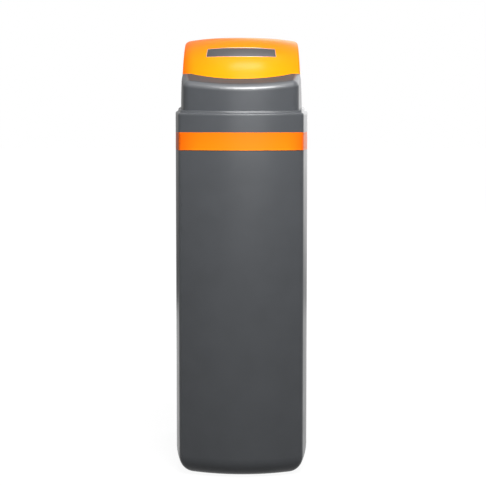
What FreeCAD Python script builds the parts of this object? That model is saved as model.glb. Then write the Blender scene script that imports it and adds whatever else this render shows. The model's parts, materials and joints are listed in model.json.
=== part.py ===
import FreeCAD, Part
import math
import os
import Sketcher

# Cabinet water softener: a salt cabinet with a pressure vessel, its control valve and a bypass.
# Millimetres. Origin at the middle of the footprint, on the floor. +Z up, the front faces -Y and
# +X is to the right.

SIZES = {
    # Cabinet, seen from above: bowed front, flared sides, straight back
    "cabinet_width": 350.0,
    "overall_depth": 500.0,
    "overall_height": 1130.0,
    "connection_reach": 28.0,
    "front_bow_radius": 380.0,
    "side_flare_radius": 800.0,
    "flare_depth": 200.0,
    "front_corner_radius": 14.0,
    "rear_corner_radius": 45.0,
    # Salt tub
    "tub_wall": 5.0,
    "tub_floor": 6.0,
    "base_roll_radius": 50.0,
    "spigot_height": 12.0,
    "spigot_wall": 3.0,
    "fit_gap": 0.3,
    # Trim band, and the head above it
    "head_height": 248.0,
    "band_height": 45.0,
    "band_wall": 5.0,
    # Top deck
    "rim_front_rise": 48.0,
    "rim_rear_rise": 70.0,
    "pedestal_front_rise": 53.0,
    "pedestal_rear_rise": 80.0,
    "rim_radius": 6.0,
    "deck_wall": 4.0,
    "deck_draft": 2.0,
    "ledge_width": 14.5,
    "salt_opening_width": 250.0,
    "salt_opening_depth": 126.0,
    "salt_opening_radius": 24.0,
    "salt_opening_front": 32.0,
    # Hood round the control valve
    "hood_wall": 4.0,
    "hood_draft": 8.0,
    "hood_front_rise": 65.0,
    "hood_slope_angle": 20.5,
    "hood_edge_radius": 20.0,
    "hood_corner_radius": 26.0,
    "seat_rise": 97.0,
    "seat_lip": 7.0,
    # Lid
    "lid_setback": 46.5,
    "lid_bow_radius": 240.0,
    "lid_wall": 3.0,
    "lid_rear": 94.0,
    "lid_draft": 4.0,
    "lid_shoulder_radius": 13.0,
    "lid_crown_radius": 1500.0,
    "lid_nose_radius": 110.0,
    "lid_top_fall": 1.0,
    # Rear cover
    "cover_gap": 5.0,
    "cover_wall": 3.0,
    "cover_crown_radius": 2200.0,
    "cover_rear_radius": 26.0,
    # Lid hinge
    "hinge_back_off": 4.0,
    "hinge_drop": 9.0,
    "hinge_offset": 56.5,
    "knuckle_length": 8.0,
    "knuckle_radius": 4.0,
    "ear_length": 8.0,
    "ear_radius": 5.0,
    "ear_gap": 0.5,
    "hinge_pin_radius": 2.0,
    "running_gap": 0.05,
    # Name plate, bare
    "plate_low_width": 178.0,
    "plate_high_width": 172.0,
    "plate_height": 22.5,
    "plate_rise": 193.5,
    "plate_arch": 3.0,
    "plate_depth": 1.5,
    "plate_stand": 0.5,
    # Pressure vessel and its fill
    "vessel_setback": 142.0,
    "vessel_diameter": 257.0,
    "vessel_headroom": 241.0,
    "vessel_wall": 4.0,
    "vessel_foot_lift": 12.0,
    "vessel_foot_radius": 75.0,
    "vessel_shoulder_radius": 90.0,
    "neck_length": 39.0,
    "neck_radius": 42.0,
    "neck_bore": 32.0,
    "boot_height": 55.0,
    "boot_wall": 6.5,
    "gravel_depth": 108.0,
    "media_depth": 500.0,
    "riser_radius": 13.35,
    "riser_wall": 2.5,
    "strainer_radius": 25.0,
    "strainer_height": 46.0,
    "strainer_slot": 2.0,
    "basket_radius": 28.0,
    "basket_height": 36.0,
    # Valve body
    "valve_seat_gap": 0.3,
    "collar_radius": 55.0,
    "collar_height": 36.0,
    "valve_opening_gap": 4.0,
    "column_radius": 38.0,
    "valve_axis_rise": 100.0,
    "barrel_radius": 36.0,
    "barrel_front": 62.0,
    "barrel_rear": 58.0,
    "bore_radius": 25.0,
    "port_spacing": 88.0,
    "port_radius": 19.0,
    "port_bore": 13.0,
    "port_reach": 70.0,
    "side_boss_radius": 16.0,
    "side_boss_reach": 66.0,
    "drain_boss_radius": 14.0,
    "drain_boss_rise": 53.0,
    "boss_setback": 30.0,
    "neck_ring_radius": 36.5,
    "neck_ring_section": 2.4,
    "spigot_depth": 30.0,
    # Piston and its seals
    "piston_radius": 15.0,
    "piston_waist": 10.0,
    "piston_length": 62.0,
    "land_length": 10.0,
    "piston_rod_radius": 5.0,
    "seal_wall": 9.9,
    "spacer_length": 14.0,
    "plug_thickness": 16.0,
    "piston_stroke": 28.0,
    # Drive
    "bracket_thickness": 6.0,
    "bracket_width": 144.0,
    "bracket_height": 124.0,
    "bracket_rise": 22.0,
    "bracket_corner_radius": 12.0,
    "gear_module": 1.0,
    "tooth_width_share": 0.40,
    "gear_width": 6.0,
    "gear_clearance": 3.0,
    "main_teeth": 72.0,
    "small_teeth": 16.0,
    "large_teeth": 48.0,
    "pinion_teeth": 12.0,
    "hub_radius": 14.0,
    "axle_radius": 2.0,
    "motor_radius": 17.0,
    "motor_length": 36.0,
    # Electronics and front cover
    "cover_depth": 54.0,
    "valve_cover_wall": 2.5,
    "board_width": 116.0,
    "board_height": 100.0,
    "board_thickness": 1.6,
    "display_width": 62.0,
    "display_height": 28.0,
    "display_rise": 18.0,
    "display_thickness": 7.0,
    "button_count": 4.0,
    "button_pitch": 24.0,
    "button_radius": 5.5,
    "button_drop": 22.0,
    "button_travel": 1.0,
    "button_gap": 0.4,
    "post_radius": 3.0,
    # Fittings on the valve
    "cap_radius": 17.0,
    "cap_length": 13.0,
    "injector_radius": 7.0,
    "injector_length": 30.0,
    "drain_tube_radius": 8.0,
    "drain_rise": 16.0,
    "drain_reach": 62.0,
    "drain_nut_radius": 18.0,
    "drain_nut_height": 12.0,
    "barb_radius": 6.5,
    "barb_length": 24.0,
    "brine_port_reach": 90.0,
    "brine_elbow_radius": 8.0,
    "brine_nut_radius": 9.5,
    "brine_nut_length": 14.0,
    "turbine_radius": 12.2,
    "turbine_length": 10.0,
    "turbine_blades": 6.0,
    "turbine_shaft_radius": 1.5,
    "cage_length": 4.0,
    # Bypass
    "bypass_length": 58.0,
    "bypass_setback": 24.0,
    "clip_length": 7.0,
    "bypass_barrel_radius": 20.0,
    "bypass_barrel_height": 52.0,
    "bypass_link_radius": 13.0,
    "handle_hub_radius": 15.0,
    "handle_hub_height": 14.0,
    "handle_length": 44.0,
    "handle_width": 12.0,
    "handle_thickness": 8.0,
    "spindle_radius": 6.0,
    "spindle_depth": 24.0,
    "nut_radius": 21.0,
    "nut_length": 18.0,
    "nut_lip": 2.0,
    "tail_radius": 13.2,
    "tail_bore": 9.0,
    "tail_flange_radius": 17.0,
    "tail_flange_length": 3.0,
    "pipe_opening_width": 150.0,
    "pipe_opening_height": 56.0,
    "pipe_opening_radius": 14.0,
    "gland_inset": 67.0,
    "gland_radius": 7.0,
    # Brine well
    "well_x": -66.0,
    "well_front_gap": 60.0,
    "well_radius": 50.0,
    "well_wall": 2.5,
    "well_headroom": 38.0,
    "well_cap_height": 12.0,
    "well_cap_wall": 2.5,
    "brine_line_radius": 4.75,
    "brine_line_bend_share": 0.45,
    "brine_valve_radius": 13.0,
    "brine_valve_height": 40.0,
    "brine_valve_drop": 50.0,
    "draw_tube_offset": 18.0,
    "air_check_radius": 13.0,
    "air_check_height": 56.0,
    "air_check_lift": 6.0,
    "float_offset": 22.0,
    "float_radius": 18.0,
    "float_height": 44.0,
    "float_rise": 300.0,
    "float_rod_radius": 2.5,
    "float_head_radius": 5.0,
    "float_head_height": 4.0,
    # Overflow
    "overflow_inset": 65.0,
    "overflow_drop": 67.0,
    "overflow_radius": 9.0,
    "overflow_bore": 6.5,
    "overflow_flange_radius": 16.0,
    "overflow_flange": 3.0,
    "overflow_nut_radius": 15.0,
    "overflow_nut_length": 9.0,
}


class Dim:
    """A size: its value, and the sheet formula that gives it."""

    def __init__(self, value, formula):
        self.value = float(value)
        self.formula = formula

    def _join(self, other, sign, value, swap=False):
        other = as_dim(other)
        first, second = (other, self) if swap else (self, other)
        return Dim(value, "(%s %s %s)" % (first.formula, sign, second.formula))

    def __add__(self, other):
        return self._join(other, "+", self.value + as_dim(other).value)

    def __radd__(self, other):
        return self._join(other, "+", self.value + as_dim(other).value, True)

    def __sub__(self, other):
        return self._join(other, "-", self.value - as_dim(other).value)

    def __rsub__(self, other):
        return self._join(other, "-", as_dim(other).value - self.value, True)

    def __mul__(self, other):
        return self._join(other, "*", self.value * as_dim(other).value)

    def __rmul__(self, other):
        return self._join(other, "*", self.value * as_dim(other).value, True)

    def __truediv__(self, other):
        return self._join(other, "/", self.value / as_dim(other).value)

    def __neg__(self):
        return Dim(-self.value, "(0 - %s)" % self.formula)


def as_dim(size):
    """Takes a size or a plain number and gives a size."""
    return size if isinstance(size, Dim) else Dim(size, repr(float(size)))


def steepness(angle):
    """Rise over run of an angle in degrees."""
    return Dim(math.tan(math.radians(angle.value)), "tan(%s * 1 deg)" % angle.formula)


class Names:
    """Holds each size of the sheet under its own name."""


def fill_sheet(doc):
    """Writes the driving sizes to the sheet and gives them back as named sizes."""
    sheet = doc.addObject("Spreadsheet::Sheet", "Sizes")
    names = Names()
    for row, (alias, number) in enumerate(SIZES.items(), start=1):
        cell = "B%d" % row
        sheet.set("A%d" % row, alias)
        sheet.set(cell, repr(number))
        sheet.setAlias(cell, alias)
        setattr(names, alias, Dim(number, "Sizes." + alias))
    doc.recompute()
    return names


DOC = FreeCAD.newDocument("WaterSoftener")
S = fill_sheet(DOC)
NODES = []


def bind(thing, prop, size):
    """Ties one property to a size."""
    size = as_dim(size)
    thing.setExpression(prop, size.formula)


def node(thing, label):
    """Registers a finished sub-part under its own name."""
    thing.Label = label
    NODES.append(thing)
    return thing


def place(thing, x=0, y=0, z=0, turn=None):
    """Puts a sub-part at its place; turn is (axis, degrees)."""
    rotation = FreeCAD.Rotation()
    if turn:
        rotation = FreeCAD.Rotation(FreeCAD.Vector(*turn[0]), turn[1])
    x, y, z = as_dim(x), as_dim(y), as_dim(z)
    thing.Placement = FreeCAD.Placement(FreeCAD.Vector(x.value, y.value, z.value), rotation)
    for prop, size in (("x", x), ("y", y), ("z", z)):
        bind(thing, "Placement.Base." + prop, size)
    return thing


def new_body(name):
    """An empty body."""
    return DOC.addObject("PartDesign::Body", name)


def origin_item(body, role):
    """A plane or axis of the body's own origin."""
    for item in body.Origin.OriginFeatures:
        if item.Role == role:
            return item
    raise ValueError(role)


def new_sketch(body, name, plane="XY_Plane", offset=0):
    """A sketch on one of the body's origin planes, moved along the plane's normal."""
    sketch = body.newObject("Sketcher::SketchObject", name)
    sketch.AttachmentSupport = [(origin_item(body, plane), "")]
    sketch.MapMode = "FlatFace"
    offset = as_dim(offset)
    sketch.AttachmentOffset = FreeCAD.Placement(FreeCAD.Vector(0, 0, offset.value), FreeCAD.Rotation())
    bind(sketch, "AttachmentOffset.Base.z", offset)
    return sketch


def fix(sketch, kind, *args):
    """Adds a constraint whose last value is a size, and ties it to that size."""
    size = as_dim(args[-1])
    number = sketch.addConstraint(Sketcher.Constraint(kind, *args[:-1], size.value))
    sketch.setExpression("Constraints[%d]" % number, size.formula)


def pin_point(sketch, geometry, end, x, y):
    """Places one end of a line or arc at x, y."""
    for kind, size in (("DistanceX", as_dim(x)), ("DistanceY", as_dim(y))):
        if size.formula == "0.0":
            axis = -2 if kind == "DistanceX" else -1
            sketch.addConstraint(Sketcher.Constraint("PointOnObject", geometry, end, axis))
        else:
            fix(sketch, kind, -1, 1, geometry, end, size)


def draw_circle(sketch, radius, x=0, y=0):
    """A circle tied to its centre and radius."""
    x, y, radius = as_dim(x), as_dim(y), as_dim(radius)
    circle = Part.Circle(FreeCAD.Vector(x.value, y.value, 0), FreeCAD.Vector(0, 0, 1), radius.value)
    index = sketch.addGeometry(circle, False)
    pin_point(sketch, index, 3, x, y)
    fix(sketch, "Radius", index, radius)


def draw_polygon(sketch, points):
    """A closed outline of straight edges, each corner tied to its place."""
    points = [(as_dim(x), as_dim(y)) for x, y in points]
    count = len(points)
    first = sketch.GeometryCount
    for i in range(count):
        start, end = points[i], points[(i + 1) % count]
        line = Part.LineSegment(FreeCAD.Vector(start[0].value, start[1].value, 0),
                                FreeCAD.Vector(end[0].value, end[1].value, 0))
        sketch.addGeometry(line, False)
    for i in range(count):
        after = first + (i + 1) % count
        sketch.addConstraint(Sketcher.Constraint("Coincident", first + i, 2, after, 1))
        pin_point(sketch, first + i, 1, *points[i])


def draw_box(sketch, width, height, x=0, y=0):
    """A rectangle about its middle."""
    half_width, half_height = as_dim(width) / 2, as_dim(height) / 2
    x, y = as_dim(x), as_dim(y)
    draw_polygon(sketch, [(x - half_width, y - half_height), (x + half_width, y - half_height),
                          (x + half_width, y + half_height), (x - half_width, y + half_height)])


def pad(body, sketch, length, name="Pad", midplane=False, reverse=False):
    """Extrudes a sketch into solid."""
    feature = body.newObject("PartDesign::Pad", name)
    feature.Profile = sketch
    feature.SideType = "Symmetric" if midplane else "One side"
    feature.Reversed = reverse
    feature.Length = as_dim(length).value
    bind(feature, "Length", length)
    return feature


def pocket(body, sketch, length=None, name="Pocket", midplane=False, reverse=False):
    """Cuts a sketch out of the solid, right through where no length is given."""
    feature = body.newObject("PartDesign::Pocket", name)
    feature.Profile = sketch
    feature.SideType = "Symmetric" if midplane else "One side"
    feature.Reversed = reverse
    if length is None:
        feature.Type = "ThroughAll"
    else:
        feature.Length = as_dim(length).value
        bind(feature, "Length", length)
    return feature


def loft(body, sketches, name="Loft", cut=False):
    """A ruled loft through two outlines of the same make."""
    kind = "PartDesign::SubtractiveLoft" if cut else "PartDesign::AdditiveLoft"
    feature = body.newObject(kind, name)
    feature.Profile = sketches[0]
    feature.Sections = sketches[1:]
    feature.Ruled = True
    return feature


def fillet(body, radius, wanted, name="Fillet"):
    """Rounds the edges of the body's tip that a test on each edge picks."""
    DOC.recompute()
    tip = body.Tip
    edges = ["Edge%d" % (i + 1) for i, edge in enumerate(tip.Shape.Edges) if wanted(edge)]
    if not edges:
        raise ValueError("no edge to round on " + body.Name)
    feature = body.newObject("PartDesign::Fillet", name)
    feature.Base = (tip, edges)
    feature.Radius = as_dim(radius).value
    bind(feature, "Radius", radius)
    body.Tip = feature
    return feature


def boolean(kind, name, base, tools):
    """Part booleans: Cut, Fuse or Common."""
    if kind == "Cut" and len(tools) == 1:
        result = DOC.addObject("Part::Cut", name)
        result.Base = base
        result.Tool = tools[0]
        return result
    result = DOC.addObject("Part::Multi" + kind, name)
    result.Shapes = [base] + list(tools)
    return result


def cut(name, base, *tools):
    """The base less every tool."""
    if len(tools) > 1:
        tools = [boolean("Fuse", name + "_tools", tools[0], tools[1:])]
    return boolean("Cut", name, base, tools)


def common(name, *shapes):
    """What every shape holds."""
    return boolean("Common", name, shapes[0], shapes[1:])


def fuse(name, *shapes):
    """All the shapes as one."""
    return boolean("Fuse", name, shapes[0], shapes[1:])


# Places that several sub-parts share
FRONT = -(S.overall_depth / 2)
BACK = S.overall_depth / 2 - S.connection_reach
HALF = S.cabinet_width / 2
FLARE_END = FRONT + S.flare_depth
TOP = S.overall_height
BAND_TOP = TOP - S.head_height
TUB_TOP = BAND_TOP - S.band_height
VESSEL_HEIGHT = TOP - S.vessel_headroom
VESSEL_Y = BACK - S.vessel_setback
VALVE_FOOT = S.tub_floor + VESSEL_HEIGHT + S.valve_seat_gap
PORT_Z = VALVE_FOOT + S.valve_axis_rise
SEAL_Z = VALVE_FOOT - S.valve_seat_gap + S.neck_ring_section + S.running_gap
WELL_Y = FRONT + S.well_front_gap + S.well_radius
WELL_HEIGHT = BAND_TOP - S.well_headroom
OVERFLOW_X = S.overflow_inset - HALF
OVERFLOW_Z = TUB_TOP - S.overflow_drop
GLAND_X = HALF - S.gland_inset

# Turns that point a piece's own Z axis another way
TO_REAR = ((1, 0, 0), -90)
TO_FRONT = ((1, 0, 0), 90)
TO_RIGHT = ((0, 1, 0), 90)
TO_LEFT = ((0, 1, 0), -90)


def tangent_plan(half, front, back, bow, flare, flare_end, corner, rear):
    """Numbers of the plan outline: centres and tangent points, right-hand half."""
    bow_centre = (0.0, front + bow)
    flare_centre = (half - flare, flare_end)
    to_bow, to_flare = bow - corner, flare - corner
    dx, dy = flare_centre[0] - bow_centre[0], flare_centre[1] - bow_centre[1]
    apart = math.hypot(dx, dy)
    along = (to_bow ** 2 - to_flare ** 2 + apart ** 2) / (2 * apart)
    across = math.sqrt(to_bow ** 2 - along ** 2)
    mid = (bow_centre[0] + along * dx / apart, bow_centre[1] + along * dy / apart)
    sides = [(mid[0] + k * across * dy / apart, mid[1] - k * across * dx / apart) for k in (1, -1)]
    centre = [p for p in sides if p[0] > 0 and p[1] < bow_centre[1]][0]

    def reach(origin, radius):
        away = math.hypot(centre[0] - origin[0], centre[1] - origin[1])
        return (origin[0] + radius * (centre[0] - origin[0]) / away,
                origin[1] + radius * (centre[1] - origin[1]) / away)

    return bow_centre, flare_centre, centre, reach(bow_centre, bow), reach(flare_centre, flare)


def draw_plan(sketch, inset=0, front=None, back=None, bow=None, corner=None, rear=None):
    """The cabinet's outline from above, moved inwards by the inset.

    A bowed front, a small corner, a flaring side arc that ends tangent to a straight side, and round
    rear corners. The side arcs keep their centres, so every outline stays parallel to the cabinet's.
    """
    inset = as_dim(inset)
    front = FRONT + inset if front is None else front
    back = BACK - inset if back is None else back
    bow = S.front_bow_radius - inset if bow is None else bow
    corner = S.front_corner_radius if corner is None else corner
    rear = S.rear_corner_radius - inset if rear is None else rear
    half, flare = HALF - inset, S.side_flare_radius - inset
    corner, rear = as_dim(corner), as_dim(rear)
    bow_c, flare_c, corner_c, bow_end, flare_start = tangent_plan(
        half.value, front.value, back.value, bow.value, flare.value, FLARE_END.value,
        corner.value, rear.value)

    def arc(centre, radius, start, end):
        """Arc counter-clockwise from one point to the other."""
        a = math.atan2(start[1] - centre[1], start[0] - centre[0])
        b = math.atan2(end[1] - centre[1], end[0] - centre[0])
        if b < a:
            b += 2 * math.pi
        circle = Part.Circle(FreeCAD.Vector(centre[0], centre[1], 0), FreeCAD.Vector(0, 0, 1), radius)
        return Part.ArcOfCircle(circle, a, b)

    def mirrored(point):
        return (-point[0], point[1])

    def line(start, end):
        return Part.LineSegment(FreeCAD.Vector(start[0], start[1], 0), FreeCAD.Vector(end[0], end[1], 0))

    h, b, r, e = half.value, back.value, rear.value, FLARE_END.value
    shapes = [
        arc(bow_c, bow.value, mirrored(bow_end), bow_end),
        arc(corner_c, corner.value, bow_end, flare_start),
        arc(flare_c, flare.value, flare_start, (h, e)),
        line((h, e), (h, b - r)),
        arc((h - r, b - r), r, (h, b - r), (h - r, b)),
        line((h - r, b), (r - h, b)),
        arc((r - h, b - r), r, (r - h, b), (-h, b - r)),
        line((-h, b - r), (-h, e)),
        arc(mirrored(flare_c), flare.value, (-h, e), mirrored(flare_start)),
        arc(mirrored(corner_c), corner.value, mirrored(flare_start), mirrored(bow_end)),
    ]
    sketch.addGeometry(shapes, False)
    count = len(shapes)
    for i in range(count):
        sketch.addConstraint(Sketcher.Constraint("Tangent", i, 2, (i + 1) % count, 1))
    sketch.addConstraint(Sketcher.Constraint("PointOnObject", 0, 3, -2))
    fix(sketch, "DistanceY", -1, 1, 0, 3, front + bow)
    fix(sketch, "Radius", 0, bow)
    for index, sign in ((2, 1), (8, -1)):
        fix(sketch, "Radius", index, flare)
        fix(sketch, "DistanceX", -1, 1, index, 3, sign * (half - flare))
        fix(sketch, "DistanceY", -1, 1, index, 3, FLARE_END)
    for index in (1, 9):
        fix(sketch, "Radius", index, corner)
    for index in (4, 6):
        fix(sketch, "Radius", index, rear)
    fix(sketch, "DistanceY", -1, 1, 5, 1, back)
    sketch.addConstraint(Sketcher.Constraint("Vertical", 3))
    sketch.addConstraint(Sketcher.Constraint("Horizontal", 5))
    sketch.addConstraint(Sketcher.Constraint("Vertical", 7))


def trimmed_corner(before, corner, after, radius):
    """Where a round of this radius leaves the two straight edges at a corner, and the round's centre."""
    ax, ay = before[0] - corner[0], before[1] - corner[1]
    bx, by = after[0] - corner[0], after[1] - corner[1]
    a_len, b_len = math.hypot(ax, ay), math.hypot(bx, by)
    ax, ay, bx, by = ax / a_len, ay / a_len, bx / b_len, by / b_len
    half_angle = math.acos(max(-1.0, min(1.0, ax * bx + ay * by))) / 2
    back_off = radius / math.tan(half_angle)
    mx, my = ax + bx, ay + by
    m_len = math.hypot(mx, my)
    away = radius / math.sin(half_angle)
    leave = (corner[0] + ax * back_off, corner[1] + ay * back_off)
    join = (corner[0] + bx * back_off, corner[1] + by * back_off)
    centre = (corner[0] + mx / m_len * away, corner[1] + my / m_len * away)
    return leave, join, centre


def draw_outline(sketch, corners):
    """A closed outline of straight edges whose corners may be round: (x, y) or (x, y, radius)."""
    full = [tuple(as_dim(v) for v in corner) for corner in corners]
    points = [(c[0].value, c[1].value) for c in full]
    count = len(full)
    starts, ends, arcs = [None] * count, [None] * count, {}
    for i, corner in enumerate(full):
        if len(corner) == 2:
            ends[i - 1] = starts[i] = points[i]
            continue
        leave, join, centre = trimmed_corner(points[i - 1], points[i], points[(i + 1) % count],
                                             corner[2].value)
        ends[i - 1], starts[i] = leave, join
        arcs[i] = (leave, join, centre)
    first = sketch.GeometryCount
    for i in range(count):
        sketch.addGeometry(Part.LineSegment(FreeCAD.Vector(starts[i][0], starts[i][1], 0),
                                            FreeCAD.Vector(ends[i][0], ends[i][1], 0)), False)
    for i, corner in enumerate(full):
        line, before = first + i, first + (i - 1) % count
        if i not in arcs:
            sketch.addConstraint(Sketcher.Constraint("Coincident", before, 2, line, 1))
            pin_point(sketch, line, 1, corner[0], corner[1])
            continue
        leave, join, centre = arcs[i]
        a = math.atan2(leave[1] - centre[1], leave[0] - centre[0])
        b = math.atan2(join[1] - centre[1], join[0] - centre[0])
        turns_left = (b - a) % (2 * math.pi) < math.pi
        circle = Part.Circle(FreeCAD.Vector(centre[0], centre[1], 0), FreeCAD.Vector(0, 0, 1),
                             corner[2].value)
        low, high = (a, b) if turns_left else (b, a)
        if high < low:
            high += 2 * math.pi
        arc = sketch.addGeometry(Part.ArcOfCircle(circle, low, high), False)
        arc_from, arc_to = (1, 2) if turns_left else (2, 1)
        sketch.addConstraint(Sketcher.Constraint("Tangent", before, 2, arc, arc_from))
        sketch.addConstraint(Sketcher.Constraint("Tangent", line, 1, arc, arc_to))
        fix(sketch, "Radius", arc, corner[2])
        apex = sketch.addGeometry(Part.Point(FreeCAD.Vector(points[i][0], points[i][1], 0)), True)
        pin_point(sketch, apex, 1, corner[0], corner[1])
        sketch.addConstraint(Sketcher.Constraint("PointOnObject", apex, 1, before))
        sketch.addConstraint(Sketcher.Constraint("PointOnObject", apex, 1, line))


def prism(name, plane, corners, length, offset=0, midplane=False, reverse=False):
    """A body padded from one rounded outline."""
    body = new_body(name)
    sketch = new_sketch(body, name + "_outline", plane, offset)
    draw_outline(sketch, corners)
    pad(body, sketch, length, midplane=midplane, reverse=reverse)
    return body


def turned(name, corners):
    """A body of revolution about its own Z axis; corners are (radius, height)."""
    body = new_body(name)
    sketch = new_sketch(body, name + "_profile", "XZ_Plane")
    draw_outline(sketch, corners)
    feature = body.newObject("PartDesign::Revolution", "Turn")
    feature.Profile = sketch
    feature.ReferenceAxis = (sketch, ["V_Axis"])
    feature.Angle = 360.0
    return body


def plan_prism(name, bottom, top, **outline):
    """The cabinet's outline, padded from one height to another."""
    body = new_body(name)
    sketch = new_sketch(body, name + "_plan", "XY_Plane", bottom)
    draw_plan(sketch, **outline)
    pad(body, sketch, as_dim(top) - bottom)
    return body


def trim(body, plane, corners, name):
    """Cuts away everything outside an outline that is seen along the plane's normal."""
    sketch = new_sketch(body, name, plane)
    span = S.overall_height * 3
    draw_box(sketch, span * 2, span * 2)
    draw_outline(sketch, corners)
    return pocket(body, sketch, name="Trim_" + name, midplane=True)


def crown(body, top, radius, name="crown"):
    """Cuts the top to a wide arch across the width."""
    sketch = new_sketch(body, name, "XZ_Plane")
    draw_box(sketch, radius * 4, radius * 4)
    draw_circle(sketch, radius, 0, as_dim(top) - radius)
    return pocket(body, sketch, name="Crown", midplane=True)


def drafted_sides(low, high, half_low, half_high):
    """Two leaning sides through the given half widths, carried on below and above."""
    lean = (half_low - half_high) / (high - low)
    below, above = low - S.overall_height, high + S.overall_height / 2
    wide, narrow = half_low + lean * (low - below), half_high - lean * (above - high)
    return [(-wide, below), (wide, below), (narrow, above), (-narrow, above)]


def rounded_box(width, height, radius, x=0, y=0):
    """Corners of a rectangle with round corners, about its middle."""
    half_width, half_height = as_dim(width) / 2, as_dim(height) / 2
    x, y = as_dim(x), as_dim(y)
    return [(x - half_width, y - half_height, radius), (x + half_width, y - half_height, radius),
            (x + half_width, y + half_height, radius), (x - half_width, y + half_height, radius)]


def cylinder(name, radius, length, x=0, y=0, z=0, turn=None):
    """A round bar from its foot along its own axis."""
    bar = DOC.addObject("Part::Cylinder", name)
    bind(bar, "Radius", radius)
    bind(bar, "Height", length)
    return place(bar, x, y, z, turn)


def block(name, width, depth, height, x=0, y=0, z=0):
    """A box: middle of its width, front and foot at x, y, z."""
    box = DOC.addObject("Part::Box", name)
    bind(box, "Length", width)
    bind(box, "Width", depth)
    bind(box, "Height", height)
    return place(box, as_dim(x) - as_dim(width) / 2, y, z)


def ring(name, mean_radius, section_radius, x=0, y=0, z=0, turn=None):
    """A round-section ring."""
    torus = DOC.addObject("Part::Torus", name)
    bind(torus, "Radius1", mean_radius)
    bind(torus, "Radius2", section_radius)
    return place(torus, x, y, z, turn)


# Heights and depths that the top section shares
RIM_FRONT = BAND_TOP + S.rim_front_rise
RIM_REAR = BAND_TOP + S.rim_rear_rise
BASE_FRONT = BAND_TOP + S.pedestal_front_rise
BASE_REAR = BAND_TOP + S.pedestal_rear_rise
HOOD_FRONT = FRONT + S.ledge_width
HOOD_EDGE = BASE_FRONT + S.hood_front_rise
SEAT = BASE_FRONT + S.seat_rise
LID_FRONT = HOOD_FRONT + S.lid_setback
HOOD_BACK = BACK - S.ledge_width
HINGE_Y = S.lid_rear - S.hinge_back_off
HINGE_Z = TOP - S.hinge_drop
COVER_FRONT = S.lid_rear + S.cover_gap
FAR = S.overall_depth
SEAT_HALF = HALF - S.ledge_width - S.hood_draft

# Planes along the valve, front to back, and the drive's centres
BARREL_FRONT = VESSEL_Y - S.barrel_front
BRACKET_FRONT = BARREL_FRONT - S.bracket_thickness
COVER_BACK = BRACKET_FRONT
VALVE_COVER_FRONT = COVER_BACK - S.cover_depth
BOSS_Y = VESSEL_Y - S.boss_setback
PORT_END = VESSEL_Y + S.port_reach
PORT_X = S.port_spacing / 2
BORE_LENGTH = S.plug_thickness + S.piston_length + S.piston_stroke + S.fit_gap * 4
MODULE = S.gear_module
MAIN_PITCH = MODULE * S.main_teeth / 2
SMALL_PITCH = MODULE * S.small_teeth / 2
LARGE_PITCH = MODULE * S.large_teeth / 2
PINION_PITCH = MODULE * S.pinion_teeth / 2
REDUCTION_ANGLE, PINION_ANGLE = 60.0, 120.0
REDUCTION_X = (MAIN_PITCH + SMALL_PITCH) * math.cos(math.radians(REDUCTION_ANGLE))
REDUCTION_Z = PORT_Z + (MAIN_PITCH + SMALL_PITCH) * math.sin(math.radians(REDUCTION_ANGLE))
PINION_X = REDUCTION_X + (LARGE_PITCH + PINION_PITCH) * math.cos(math.radians(PINION_ANGLE))
PINION_Z = REDUCTION_Z + (LARGE_PITCH + PINION_PITCH) * math.sin(math.radians(PINION_ANGLE))
MAIN_GEAR_Y = BRACKET_FRONT - S.gear_clearance - S.gear_width
LARGE_GEAR_Y = MAIN_GEAR_Y - S.gear_clearance - S.gear_width
BRACKET_Z = PORT_Z + S.bracket_rise
BOARD_Z = BRACKET_Z
DISPLAY_FRONT = VALVE_COVER_FRONT + S.valve_cover_wall
BOARD_FRONT = DISPLAY_FRONT + S.display_thickness + S.fit_gap * 2
BOARD_BACK = BOARD_FRONT + S.board_thickness
BUTTON_Z = BOARD_Z - S.button_drop
DRAIN_Y = VESSEL_Y + S.boss_setback
DRAIN_FOOT = PORT_Z + S.drain_boss_rise
BRINE_MOUTH_Y = BOSS_Y - S.brine_nut_length
BRINE_VALVE_TOP = S.tub_floor + WELL_HEIGHT - S.brine_valve_drop
TURBINE_Y = VESSEL_Y + S.port_reach * 0.7
BYPASS_Y = PORT_END + S.bypass_setback
BYPASS_END = PORT_END + S.bypass_length
PLATE_FOOT = BAND_TOP + S.plate_rise


def tilted_line(front, rear, drop=0):
    """A line that rises from the cabinet's front to its back, carried on both ways, lowered by drop."""
    rise = (rear - front) / (BACK - FRONT)
    return [(-FAR, front - drop - rise * (FAR + FRONT)), (FAR, rear - drop + rise * (FAR - BACK))]


def below_line(line):
    """Everything under a line, seen from the side."""
    return [(-FAR, 0), (FAR, 0)] + line[::-1]


def seat_line(drop=0):
    """The hood's top, seen from the side: a slope up from the front edge, then level."""
    slope = steepness(S.hood_slope_angle)
    run = (SEAT - HOOD_EDGE) / slope
    before = S.flare_depth
    return [(HOOD_FRONT - before, HOOD_EDGE - drop - before * slope), (HOOD_FRONT + run, SEAT - drop),
            (FAR, SEAT - drop)]


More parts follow.
